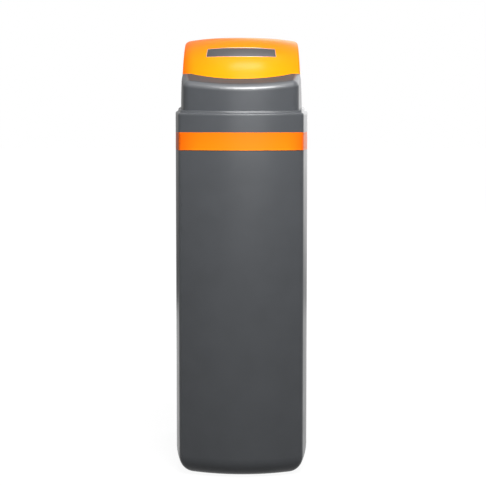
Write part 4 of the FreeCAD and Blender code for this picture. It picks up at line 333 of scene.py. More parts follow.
@dataclass(frozen=True)
class LidFinish:
    """Orange plastic with painted light that makes it paler toward its foot, and painted shade that makes it
    deeper toward its left and right ends.
    """

    name: str
    colour: Triple
    # glow: painted light, the paler colour toward the foot; deep: painted shade, the deeper colour at both
    # ends
    glow: Triple
    deep: Triple
    # the heights over which the painted light fades out, and the spans across of the painted shade at each
    # end
    painted_light_height: Span
    ends: Ramp
    rough: Span
    gloss: float = 0.10
    clouds: float = 0.03
    cloud_scale: float = 9.0
    smear_scale: float = 35.0
    grain: float = 1400.0
    depth: float = 0.00002
    bump: float = 0.2

    def material(self) -> Material:
        """Builds the finish: the colour turns to the glow, a painted light, down its height, and to the deep
        colour, a painted shade, at both ends.

        Returns:
            The material.
        """
        graph = Paint(self.name)
        cloud = graph.spread(graph.noise(self.cloud_scale, detail=3.0), MIDDLE)
        body = graph.blend(cloud, toned(self.colour, 1.0 - self.clouds), self.colour)
        # Painted light: the colour turns to the paler glow toward the foot
        body = graph.blend(graph.spread(graph.axis("Z"), self.painted_light_height, (1.0, 0.0)), body, self.glow)
        # Painted shade: the colour deepens toward the left and right ends
        for end in self.ends:
            body = graph.blend(graph.spread(graph.axis("X"), end, smooth=True), body, self.deep)
        graph.relief(graph.noise(self.grain, detail=2.0), self.depth, self.bump)
        rough = graph.spread(graph.noise(self.smear_scale, detail=3.0), MIDDLE, self.rough)
        return graph.finished(Base_Color=body, Roughness=rough, Specular_IOR_Level=self.gloss)


@dataclass(frozen=True)
class Metal:
    """Turned or rolled metal with fine lines and faint stains."""

    name: str
    colour: Triple
    rough: Span = (0.20, 0.44)
    lines: Triple = (20.0, 900.0, 20.0)
    stain: float = 0.24
    stain_scale: float = 60.0
    stained: Span = (0.45, 0.75)
    wear: Span = (0.3, 1.6)
    depth: float = 0.00004
    bump: float = 0.4

    def material(self) -> Material:
        """Builds the finish: lines across one axis, and stains that darken and dull it.

        Returns:
            The material.
        """
        graph = Paint(self.name)
        line = graph.noise(1.0, place=graph.moved(self.lines))
        stains = graph.spread(graph.noise(self.stain_scale, detail=5.0), self.stained, smooth=True)
        graph.relief(line, self.depth, self.bump)
        colour = graph.blend(stains, self.colour, toned(self.colour, 1.0 - self.stain))
        rough = graph.spread(graph.maths("ADD", line, stains), self.wear, self.rough)
        return graph.finished(Base_Color=colour, Roughness=rough, Metallic=1.0)


@dataclass(frozen=True)
class Grains:
    """A bed of loose grains or beads, each with its own shade."""

    name: str
    dark: Triple
    light: Triple
    size: float
    rough: Span
    edge: float = 0.7
    dome: float = 0.6
    bump: float = 0.8

    def material(self) -> Material:
        """Builds the finish: one cell for each grain, coloured and domed by its cell.

        Returns:
            The material.
        """
        graph = Paint(self.name)
        scale = 1.0 / self.size
        shade = graph.cells(scale, "Color")
        dome = graph.spread(graph.cells(scale), (0.0, self.edge), (1.0, 0.0))
        graph.relief(dome, self.size * self.dome, self.bump)
        return graph.finished(Base_Color=graph.blend(shade, self.dark, self.light),
                              Roughness=graph.spread(shade, WHOLE, self.rough))


@dataclass(frozen=True)
class WoundGlass:
    """Glass fibre wound over a liner: crossed bands under a clear lacquer."""

    name: str
    colour: Triple
    light: Triple
    band: float = 110.0
    slant: float = 0.55
    waver: float = 1.6
    rough: Span = (0.38, 0.24)
    depth: float = 0.0004
    bump: float = 0.5
    coat: float = 0.6
    coat_roughness: float = 0.1

    def material(self) -> Material:
        """Builds the finish: two sets of slanted waves, one for each winding direction.

        Returns:
            The material.
        """
        graph = Paint(self.name)
        waves = [graph.wave(self.band, graph.moved(turn=(0.0, slant, 0.0)), self.waver)
                 for slant in (self.slant, -self.slant)]
        crossed = graph.maths("MULTIPLY", *waves)
        graph.relief(crossed, self.depth, self.bump)
        return graph.finished(Base_Color=graph.blend(crossed, self.colour, self.light),
                              Roughness=graph.spread(crossed, WHOLE, self.rough),
                              Coat_Weight=self.coat, Coat_Roughness=self.coat_roughness)


@dataclass(frozen=True)
class SolderMask:
    """A circuit board: green mask over copper tracks, with tinned dots."""

    name: str
    mask: Triple = (0.012, 0.105, 0.035)
    track: Triple = (0.03, 0.20, 0.07)
    tin: Triple = (0.62, 0.62, 0.58)
    shift: float = 0.37
    scale: float = 95.0
    gap: float = 0.035
    width: float = 0.62
    row: float = 0.21
    dot_scale: float = 240.0
    dot: Span = (0.10, 0.13)
    rough: Span = (0.30, 0.22)
    metallic: float = 0.9
    depth: float = 0.00008
    bump: float = 0.6

    def material(self) -> Material:
        """Builds the finish: square tracks from a brick pattern, dots from small cells.

        Returns:
            The material.
        """
        graph = Paint(self.name)
        inputs = {"Vector": graph.moved(turn=(math.pi / 2, 0.0, 0.0)), "Scale": self.scale,
                  "Mortar Size": self.gap, "Brick Width": self.width, "Row Height": self.row}
        tracks = graph.add("ShaderNodeTexBrick", inputs, offset=self.shift).outputs["Fac"]
        dots = graph.spread(graph.cells(self.dot_scale), self.dot, (1.0, 0.0))
        graph.relief(graph.maths("ADD", tracks, dots), self.depth, self.bump)
        board = graph.blend(tracks, self.mask, self.track)
        return graph.finished(Base_Color=graph.blend(dots, board, self.tin),
                              Roughness=graph.spread(dots, WHOLE, self.rough),
                              Metallic=graph.spread(dots, WHOLE, (0.0, self.metallic)))


@dataclass(frozen=True)
class Screen:
    """A dark display pane with faint segment rows under a polished face."""

    name: str
    colour: Triple = (0.012, 0.016, 0.014)
    segment: Triple = (0.045, 0.06, 0.045)
    rows: float = 420.0
    smear_scale: float = 55.0
    smear: Span = (0.35, 0.8)
    rough: Span = (0.06, 0.16)
    coat: float = 0.8
    coat_roughness: float = 0.03

    def material(self) -> Material:
        """Builds the finish: a fine row pattern, much darker than a lit one."""
        graph = Paint(self.name)
        return graph.finished(Base_Color=graph.blend(graph.wave(self.rows), self.colour, self.segment),
                              Roughness=graph.spread(graph.noise(self.smear_scale), self.smear, self.rough),
                              Coat_Weight=self.coat, Coat_Roughness=self.coat_roughness)


def finishes() -> dict[str, Material]:
    """Builds every finish once.

    A moulded finish gives its name, colour, roughness, grain, the grain's depth and the clouds' share
    first, and then what sets it apart.

    Returns:
        Material slot, or name of a node with a finish of its own, to its material.
    """
    grey = (0.062, 0.066, 0.072)
    orange = (0.93, 0.19, 0.004)
    # deep: painted shade, the darker orange at the left and right ends of the band and the lid
    deep = (0.90, 0.13, 0.003)
    plans = {
        # The shell's joint at the band's foot brings painted shade just below it, for the shadow in the gap
        # there
        "shell": DullFoot("satin_grey_plastic", grey, 0.30, 1100.0, 0.00005, 0.05, gloss=0.25, bump=0.04,
                          joint=BAND_FOOT),
        "top_deck": DullFoot("ledge_grey_plastic", grey, 0.30, 1100.0, 0.00005, 0.05, bump=0.04,
                             foot=0.922, above=0.930, foot_gloss=0.22),
        "hood": PolishedEdge("glossy_grey_plastic", grey, 0.33, 1100.0, 0.00005, 0.05, gloss=0.16, bump=0.03),
        # The paler colours and their heights are painted light toward the foot; the spans across are where
        # painted shade deepens the ends
        "trim": LidFinish("band_orange_plastic", orange, (0.94, 0.235, 0.004), deep,
                          (BAND_FOOT, BAND_FOOT + 0.045), ((-0.100, -0.172), (0.110, 0.172)), (0.35, 0.38)),
        "lid_skin": LidFinish("lid_orange_plastic", orange, (0.93, 0.33, 0.004), deep,
                              (1.022, 1.110), ((-0.120, -0.160), (0.144, 0.158)), (0.29, 0.32)),
        "plate": Moulded("bare_plate", (0.042, 0.039, 0.040), 0.40, 1500.0, 0.00003, 0.04, coat=0.2),
        "vessel": WoundGlass("wound_glass_fibre", (0.012, 0.045, 0.11), (0.0364, 0.109, 0.252)),
        "black": Moulded("glass_filled_black", (0.022, 0.022, 0.023), 0.46, 700.0, 0.00010, 0.25),
        "white": Moulded("natural_white_plastic", (0.72, 0.72, 0.69), 0.38, 800.0, clouds=0.03,
                         subsurface=0.15),
        "gravel": Grains("quartz_gravel", (0.30, 0.25, 0.19), (0.66, 0.60, 0.50), 0.005, (0.60, 0.85)),
        "resin": Grains("resin_beads", (0.30, 0.12, 0.02), (0.62, 0.33, 0.07), 0.0012, (0.25, 0.50)),
        "steel": Metal("rolled_steel", (0.60, 0.60, 0.61)),
        "coated": Moulded("coated_piston", (0.55, 0.55, 0.50), 0.25, 1500.0, 0.00002, 0.05, coat=0.3),
        "seal": Moulded("black_rubber", (0.018, 0.018, 0.019), 0.68, 1600.0, 0.00008, 0.2),
        "gear": Moulded("natural_nylon", (0.66, 0.64, 0.57), 0.42, 900.0, 0.00005, 0.04, subsurface=0.2),
        "brass": Metal("turned_brass", (0.72, 0.50, 0.20), (0.16, 0.40)),
        "board": SolderMask("green_board"),
        "screen": Screen("display_pane"),
        "key": Moulded("grey_keys", (0.20, 0.205, 0.22), 0.55, 1600.0, clouds=0.05),
        "handle": Moulded("red_handle_plastic", (0.48, 0.020, 0.014), 0.32, 900.0, 0.00005, coat=0.15),
        "line": Moulded("clear_tube", (0.62, 0.66, 0.66), 0.26, 700.0, 0.00002, 0.03, coat=0.2,
                        subsurface=0.3),
        "float": Grains("closed_foam", (0.72, 0.72, 0.70), (0.82, 0.82, 0.80), 0.0025, (0.50, 0.75)),
        "rim": Metal("bright_rim", (0.40, 0.38, 0.37), (0.34, 0.58)),
    }
    return {slot: plan.material() for slot, plan in plans.items()}


def dress(obj: Object, material: Material) -> None:
    """Gives an object one material in all its slots.

    Args:
        obj: the object.
        material: its finish.
    """
    if not obj.material_slots:
        obj.data.materials.append(material)
    for slot in obj.material_slots:
        slot.material = material


def smooth_piece(name: str, points: np.ndarray, faces: Sequence[Sequence[int]]) -> Object:
    """Makes a piece that is shaded smooth.

    Args:
        name: name of the piece.
        points: array of points.
        faces: the points' numbers, face by face.

    Returns:
        The piece.
    """
    mesh = bpy.data.meshes.new(name)
    mesh.from_pydata(points.reshape(-1, 3).tolist(), [], faces)
    mesh.validate()
    mesh.polygons.foreach_set("use_smooth", np.ones(len(mesh.polygons), dtype=bool))
    obj = bpy.data.objects.new(name, mesh)
    bpy.context.collection.objects.link(obj)
    return obj


def grid_mesh(name: str, points: np.ndarray, wrap_u: bool = False, wrap_v: bool = False) -> Object:
    """Makes a surface from a grid of points.

    Args:
        name: name of the piece.
        points: array of rows by columns by 3.
        wrap_u: whether the last row meets the first.
        wrap_v: whether the last column meets the first.

    Returns:
        The piece, with a face between each two rows and columns.
    """
    rows, columns = points.shape[:2]
    index = np.arange(rows * columns).reshape(rows, columns)
    down = np.roll(index, -1, axis=0) if wrap_u else index[1:]
    first = index if wrap_u else index[:-1]
    right, down_right = np.roll(first, -1, axis=1), np.roll(down, -1, axis=1)
    faces = np.stack([first, right, down_right, down], axis=-1)
    if not wrap_v:
        faces = faces[:, :-1]
    return smooth_piece(name, points, faces.reshape(-1, 4).tolist())


def sheet(name: str, low: Triple, high: Triple) -> Object:
    """Makes a flat rectangle whose width runs across, from its low corner to its high one."""
    return grid_mesh(name, np.array([[low, (high[0], low[1], low[2])], [(low[0], high[1], high[2]), high]]))


def joined(name: str, parts: Sequence[Object]) -> Object:
    """Joins several meshes into one piece.

    Args:
        name: name of the whole.
        parts: the meshes, which are used up.

    Returns:
        The joined piece.
    """
    points, faces, start = [], [], 0
    for part in parts:
        mesh = part.data
        flat = np.empty(len(mesh.vertices) * 3)
        mesh.vertices.foreach_get("co", flat)
        points.append(flat.reshape(-1, 3))
        faces += [tuple(v + start for v in face.vertices) for face in mesh.polygons]
        start += len(mesh.vertices)
        bpy.data.objects.remove(part)
        bpy.data.meshes.remove(mesh)
    return smooth_piece(name, np.concatenate(points), faces)


def welded(obj: Object, angle: float = 35.0) -> Object:
    """Merges doubled points, drops empty faces, turns faces outwards and keeps sharp edges crisp.

    Args:
        obj: a closed piece.
        angle: edges that bend more than this stay crisp.

    Returns:
        The same piece.
    """
    mesh = bmesh.new()
    mesh.from_mesh(obj.data)
    bmesh.ops.remove_doubles(mesh, verts=mesh.verts, dist=1e-6)
    bmesh.ops.dissolve_degenerate(mesh, dist=1e-7, edges=mesh.edges)
    bmesh.ops.recalc_face_normals(mesh, faces=mesh.faces)
    mesh.to_mesh(obj.data)
    mesh.free()
    obj.data.polygons.foreach_set("use_smooth", np.ones(len(obj.data.polygons), dtype=bool))
    obj.data.set_sharp_from_angle(angle=math.radians(angle))
    return obj


def corners(box: Sequence[Sequence[float]]) -> tuple[Vector, Vector, Vector]:
    """Gives a box's low corner, high corner and middle."""
    low, high = (Vector(corner) for corner in box)
    return low, high, (low + high) / 2


def basis(along: Triple) -> np.ndarray:
    """Gives three unit directions as rows: two across an axis, each a cross product, then the axis.

    Args:
        along: the axis.

    Returns:
        The directions.
    """
    axis = np.array(along)
    helper = np.array(BACK if abs(axis[2]) > 0.9 else UP)
    across = np.cross(helper, axis)
    across /= np.linalg.norm(across)
    return np.stack([across, np.cross(axis, across), axis])


def circle(turn: np.ndarray) -> np.ndarray:
    """Gives points of a round with radius 1: the cosine and sine of each turn in radians."""
    return np.column_stack([np.cos(turn), np.sin(turn)])


def disc(radius: float, steps: int = 40) -> np.ndarray:
    """Gives a round outline: the radius times the cosine and sine of even turns."""
    return radius * circle(np.linspace(0.0, 2 * np.pi, steps, endpoint=False))


def ribbed(radius: float, depth: float, ribs: int, steps: int = 8) -> np.ndarray:
    """Gives a round outline with ribs: the radius rises by the depth times a flattened wave."""
    turn = np.linspace(0.0, 2 * np.pi, ribs * steps, endpoint=False)
    return (radius + depth * np.sqrt(np.clip(np.cos(ribs * turn), 0.0, 1.0)))[:, None] * circle(turn)


def rounded(width: float, height: float, radius: float, steps: int = 6) -> np.ndarray:
    """Gives a rectangle with round corners: each corner's centre plus a quarter of a circle.

    Args:
        width: width of the rectangle.
        height: height of the rectangle.
        radius: radius of its corners, under half of both.
        steps: points for each corner.

    Returns:
        The outline.
    """
    quarter = np.linspace(0.0, np.pi / 2, steps)
    turn = np.concatenate([quarter + k * np.pi / 2 for k in range(4)])
    side = np.repeat([[1, 1], [-1, 1], [-1, -1], [1, -1]], steps, axis=0)
    return side * (np.array((width, height)) / 2 - radius) + radius * circle(turn)


def softened(height: float, inset: float, drop: float, sink: float = SINK) -> Levels:
    """Gives the levels of a block whose upper edge goes in by an inset over the last drop of its height."""
    return (0.0, -sink), (0.0, height - drop), (inset, height)


def hoop(width: float, height: float, outer: Span, inner: Span) -> Levels:
    """Gives the levels of a ring with two softened edges, each an inset and a drop."""
    return ((0.0, 0.0), (0.0, height - outer[1]), (outer[0], height), (width - inner[0], height),
            (width, height - inner[1]), (width, 0.0))


def raised(name: str, outline: np.ndarray, levels: Levels, place: Sequence[float], along: Triple = FRONT,
           ring: bool = False) -> Object:
    """Carries a flat outline up an axis, drawn in by an inset at each level.

    A point is the place, plus the outline's point shrunk toward its middle by the level's inset and laid
    across the axis, plus the level's height along it.

    Args:
        name: name of the piece.
        outline: points of the outline.
        levels: inset and height, level by level.
        place: where the outline's middle stands.
        along: the axis that it rises along.
        ring: whether the last level meets the first, which leaves the middle open.

    Returns:
        The closed piece.
    """
    half = np.abs(outline).max(axis=0)
    steps = list(levels)
    if not ring:
        steps = [(float(half.max()), steps[0][1]), *steps, (float(half.max()), steps[-1][1])]
    inset, height = np.array(steps).T
    share = 1.0 - np.minimum(inset[:, None] / half[None, :], 1.0)
    flat = outline[None, :, :] * share[:, None, :]
    rise = np.broadcast_to(height[:, None, None], (*flat.shape[:2], 1))
    points = np.concatenate([flat, rise], axis=2) @ basis(along) + np.array(place)
    return welded(grid_mesh(name, points, wrap_u=ring, wrap_v=True))


def screw_head(name: str, radius: float, place: Sequence[float], along: Triple = FRONT) -> Object:
    """Makes a pan head with a crossed slot.

    Its height is a dome, the root of one less the squared share of the radius, and it sinks beside two
    crossed lines near the middle. The last two rows go down into the surface and close the back.

    Args:
        name: name of the piece.
        radius: radius of the head.
        place: where its middle stands.
        along: the way that it faces.

    Returns:
        The closed piece.
    """
    slot_half, slot_end, slot_depth, slot_wall, slot_fade = 0.17, 0.66, 0.34, 0.05, 0.08
    dome, curve, foot, brow, rows, steps = 0.62, 0.8, 0.1, 0.95, 14, 48
    share = np.concatenate([np.linspace(0.0, brow, rows), [1.0, 1.0, 0.0]])
    turn = np.linspace(0.0, 2 * np.pi, steps, endpoint=False)
    reach, angle = np.meshgrid(share, turn, indexing="ij")
    across, up = reach * np.cos(angle), reach * np.sin(angle)
    line = np.minimum(np.abs(across), np.abs(up))
    slot = np.clip((slot_half - line) / slot_wall, 0.0, 1.0)
    slot *= np.clip((slot_end - reach) / slot_fade, 0.0, 1.0)
    height = dome * np.sqrt(1.0 - (curve * reach) ** 2) - slot_depth * slot
    height[-2:] = -foot
    flat = radius * np.stack([across, up, height], axis=2)
    return welded(grid_mesh(name, flat @ basis(along) + np.array(place), wrap_v=True), angle=28.0)


def thread(name: str, radius: float, depth: float, pitch: float, length: float, place: Sequence[float],
           along: Triple) -> Object:
    """Cuts a screw thread round a pipe.

    The radius grows by the depth times a triangle wave of the height over the pitch less the turn's share,
    and the wave fades out over one pitch at both ends. The inner rows close the sleeve under the skin.

    Args:
        name: name of the piece.
        radius: radius of the pipe.
        depth: height of the thread over it.
        pitch: rise in one turn.
        length: length of the thread.
        place: where it starts.
        along: the way that it runs.

    Returns:
        The closed sleeve.
    """
    rows, steps = 8, 64
    height = np.linspace(0.0, length, int(length / pitch * rows) + 1)
    turn = np.linspace(0.0, 2 * np.pi, steps, endpoint=False)
    rise, angle = np.meshgrid(height, turn, indexing="ij")
    phase = (rise / pitch - angle / (2 * np.pi)) % 1.0
    fade = np.clip(np.minimum(rise, length - rise) / pitch, 0.0, 1.0)
    reach = radius + depth * fade * (1.0 - np.abs(2.0 * phase - 1.0))
    reach = np.concatenate([reach, np.full((2, len(turn)), radius - depth)])
    rise = np.concatenate([rise, np.full((1, len(turn)), length), np.zeros((1, len(turn)))])
    angle = np.concatenate([angle, angle[:2]])
    points = np.stack([reach * np.cos(angle), reach * np.sin(angle), rise], axis=2)
    return welded(grid_mesh(name, points @ basis(along) + np.array(place), True, True), angle=50.0)


@dataclass
class Piece:
    """A finished piece: its object, its slot, the body that it rides on and its own finish if it has one."""

    obj: Object
    slot: str
    body: str = Body.CABINET.value
    finish: str = ""


@dataclass
class LidTrim:
    """The bright edge round the bare plate and the stiffening ribs inside the lid."""

    low_half: float = 0.0895
    high_half: float = 0.0865
    foot: float = 1.0751
    head: float = 1.0985
    arch: float = 0.003
    bead: float = 0.0007
    bead_sides: int = 10
    long_steps: int = 60
    side_steps: int = 12
    wall: float = 0.003
    rib_sink: float = 0.0004
    rib_depth: float = 0.007
    rib_half: float = 0.001
    rib_start: float = 14.0
    rib_end: float = 0.055
    round_steps: int = 40
    flat_steps: int = 12
    rib_turns: tuple[float, ...] = (-26.0, 0.0, 26.0)

    def on_nose(self, x: np.ndarray, z: np.ndarray) -> tuple[np.ndarray, np.ndarray]:
        """Finds points of the nose's skin.

        The skin is a round about a circle: the height gives the round's angle, its cosine gives the reach
        from the bow's upright axis, and the reach and the distance across give the depth.

        Args:
            x: distances across.
            z: heights.

        Returns:
            The points and the skin's outward directions there.
        """
        lift = (z - NOSE_ROUND[1]) / NOSE_RADIUS
        level = np.sqrt(1.0 - lift ** 2)
        reach = NOSE_ROUND[0] + NOSE_RADIUS * level
        deep = -np.sqrt(reach ** 2 - x ** 2)
        points = np.column_stack([x, deep + LID_AXIS_Y, z])
        return points, np.column_stack([level * x / reach, level * deep / reach, lift])

    def plate_edge(self) -> Object:
        """Lays a thin half-round bead on the nose's skin.

        Its path goes round the plate's outline: along the foot, up one side, back along the arch, which
        falls with the square of the distance from the middle, and down the other side.

        Returns:
            The bead.
        """
        share = np.linspace(0.0, 1.0, self.long_steps, endpoint=False)
        side = np.linspace(0.0, 1.0, self.side_steps, endpoint=False)
        top = self.high_half * (1.0 - 2.0 * share)
        lean = (self.high_half - self.low_half) * side
        shoulder = self.head - self.arch
        rise = (shoulder - self.foot) * side
        x = np.concatenate([self.low_half * (2.0 * share - 1.0), self.low_half + lean, top,
                            lean - self.high_half])
        z = np.concatenate([np.full(len(share), self.foot), self.foot + rise,
                            self.head - self.arch * (top / self.high_half) ** 2, shoulder - rise])
        path, out = self.on_nose(x, z)
        run = np.roll(path, -1, axis=0) - np.roll(path, 1, axis=0)
        across = np.cross(out, run)
        across /= np.linalg.norm(across, axis=1)[:, None]
        profile = disc(self.bead, self.bead_sides)
        points = path[:, None] + out[:, None] * profile[None, :, :1] + across[:, None] * profile[None, :, 1:]
        return welded(grid_mesh("plate_edge", points, True, True), angle=60.0)

    def rib(self, index: int) -> Object:
        """Makes one rib inside the nose, in an upright plane through the bow's axis.

        Its outer edge runs along the round's inner skin and on under the flat top, and its inner edge is
        deeper by the rib's depth. The four long edges are joined into a closed bar.

        Args:
            index: number of the rib, from 0.

        Returns:
            The rib.
        """
        turn = math.radians(self.rib_turns[index])
        over, up = circle(np.radians(np.linspace(self.rib_start, 90.0, self.round_steps))).T
        flat = np.linspace(NOSE_ROUND[0], self.rib_end, self.flat_steps)[1:]
        side = np.array((math.cos(turn), -math.sin(turn), 0.0)) * self.rib_half
        rows = []
        outer, inner = self.wall - self.rib_sink, self.wall + self.rib_depth
        for depth, sign in ((outer, -1), (outer, 1), (inner, 1), (inner, -1)):
            radius = NOSE_RADIUS - depth
            reach = np.concatenate([NOSE_ROUND[0] + radius * over, flat])
            rise = NOSE_ROUND[1] + radius * np.concatenate([up, np.ones(len(flat))])
            line = np.column_stack([-reach * math.sin(turn), LID_AXIS_Y - reach * math.cos(turn), rise])
            rows.append(line + sign * side)
        bar = np.stack(rows, axis=1)
        caps = bar[[0, -1]].mean(axis=1, keepdims=True).repeat(4, axis=1)
        bar = np.concatenate([caps[:1], bar, caps[1:]])
        return welded(grid_mesh(f"lid_rib_{index + 1}", bar, wrap_v=True))

    def build(self) -> list[Piece]:
        """Builds the edge and the ribs, which ride on the lid."""
        edge, count = Piece(self.plate_edge(), "plate", Body.LID.value, "rim"), len(self.rib_turns)
        return [edge, *(Piece(self.rib(index), "lid_skin", Body.LID.value) for index in range(count))]


@dataclass
class PipeEnds:
    """What is fine on the pipes behind: threads on the tailpieces, ribs on the small nuts, a gland's lip."""

    thread_radius: float = 0.0132
    thread_depth: float = 0.0004
    thread_pitch: float = 0.0018
    thread_length: float = 0.020
    thread_end: float = 0.0012
    nut_ribs: int = 36
    rib_depth: float = 0.0007
    grip_share: float = 0.76
    grip_inset: float = 0.0012
    grip_slope: float = 0.0006
    lip_radius: float = 0.0092
    lip_sink: float = 0.0006
    lip: Levels = hoop(0.0028, 0.0016, (0.0006, 0.0006), (0.0006, 0.0006))

    def build(self) -> list[Piece]:
        """Builds the threads, the ribs and the lip, which stand still with the cabinet.

        Returns:
            The pieces.
        """
        pieces = []
        for side in ("inlet", "outlet"):
            _, high, middle = corners(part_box(f"{side}_tailpiece"))
            start = high.y - self.thread_end - self.thread_length
            obj = thread(f"{side}_thread", self.thread_radius, self.thread_depth, self.thread_pitch,
                         self.thread_length, (middle.x, start, middle.z), BACK)
            pieces.append(Piece(obj, "brass"))
        pieces += [Piece(self.grip("drain_nut", UP), "black"), Piece(self.grip("brine_nut", BACK), "white")]
        _, high, middle = corners(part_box("lead_grommet"))
        place = (middle.x, high.y - self.lip_sink, middle.z)
        lip = raised("gland_lip", disc(self.lip_radius), self.lip, place, BACK, True)
        return [*pieces, Piece(lip, "seal")]

    def grip(self, nut: str, along: Triple) -> Object:
        """Makes a ribbed sleeve round a round nut, from its own box.

        Args:
            nut: node of the nut.
            along: the nut's axis.

        Returns:
            The sleeve.
        """
        low, high = np.array(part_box(nut))
        axis = np.array(along)
        length = float((high - low) @ axis)
        tall = length * self.grip_share
        radius = float((high - low - axis * length).max()) / 2 - SINK
        levels = ((self.grip_inset, 0.0), (0.0, self.grip_slope), (0.0, tall - self.grip_slope),
                  (self.grip_inset, tall))
        outline = ribbed(radius, self.rib_depth, self.nut_ribs)
        return raised(f"{nut}_grip", outline, levels, (low + high) / 2 - axis * tall / 2, along, True)


@dataclass
class Controls:
    """The fine pieces on the valve's front cover: screws, window frame, key rings and key marks."""

    screw_radius: float = 0.0032
    screw_in: float = 0.0085
    frame_size: Triple = (0.0600, 0.0260, 0.0045)
    frame: Levels = hoop(0.0024, 0.0014, (0.0006, 0.0004), (0.0004, 0.0006))
    keys: int = 4
    ring_radius: float = 0.0078
    ring_sink: float = 0.0001
    ring: Levels = hoop(0.0015, 0.0008, (0.0004, 0.0003), (0.0004, 0.0004))
    dot: float = 0.0014
    arrow: float = 0.0024
    bar: Triple = (0.0046, 0.0013, 0.0005)
    mark: Levels = softened(0.0004, 0.0003, 0.00015)

    def build(self) -> list[Piece]:
        """Builds them: all stand on the cover but the marks, which ride on their keys.

        Returns:
            The pieces.
        """
        low, high, middle = corners(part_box("valve_cover"))
        pieces = []
        for index, (x, z) in enumerate(((low.x, low.z), (high.x, low.z), (high.x, high.z), (low.x, high.z))):
            place = (x + math.copysign(self.screw_in, middle.x - x), low.y,
                     z + math.copysign(self.screw_in, middle.z - z))
            pieces.append(Piece(screw_head(f"cover_screw_{index + 1}", self.screw_radius, place), "steel"))
        *_, window = corners(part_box("display"))
        place = (window.x, low.y + SINK, window.z)
        frame = raised("window_frame", rounded(*self.frame_size), self.frame, place, ring=True)
        pieces.append(Piece(frame, "key"))
        for number in range(1, self.keys + 1):
            pieces += self.key(number, low.y)
        return pieces

    def key(self, number: int, front: float) -> list[Piece]:
        """Makes a key's ring on the cover and its raised mark: a dot, a bar or an arrow up or down.

        Args:
            number: number of the key, from 1.
            front: where the cover's front is.

        Returns:
            The ring and the mark.
        """
        low, _, middle = corners(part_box(f"button_{number}"))
        place = (middle.x, front + self.ring_sink, middle.z)
        ring = raised(f"key_ring_{number}", disc(self.ring_radius), self.ring, place, ring=True)
        arrow = disc(self.arrow, steps=3)[:, ::-1]
        outline = (disc(self.dot, steps=24), -arrow, arrow, rounded(*self.bar))[number - 1]
        mark = raised(f"key_mark_{number}", outline, self.mark, (middle.x, low.y, middle.z))
        return [Piece(ring, "black"), Piece(mark, "white", f"button_{number}")]


@dataclass(frozen=True)
class Feet:
    """Two rows of a chip's feet: name, count in a row, pitch and distance from the chip's middle."""

    name: str
    count: int
    pitch: float
    out: float


@dataclass(frozen=True)
class Block:
    """A moulded block on the board: name, size, place across and up, slot and feet if it has them."""

    name: str
    size: Triple
    x: float
    z: float
    slot: str
    feet: Feet | None = None


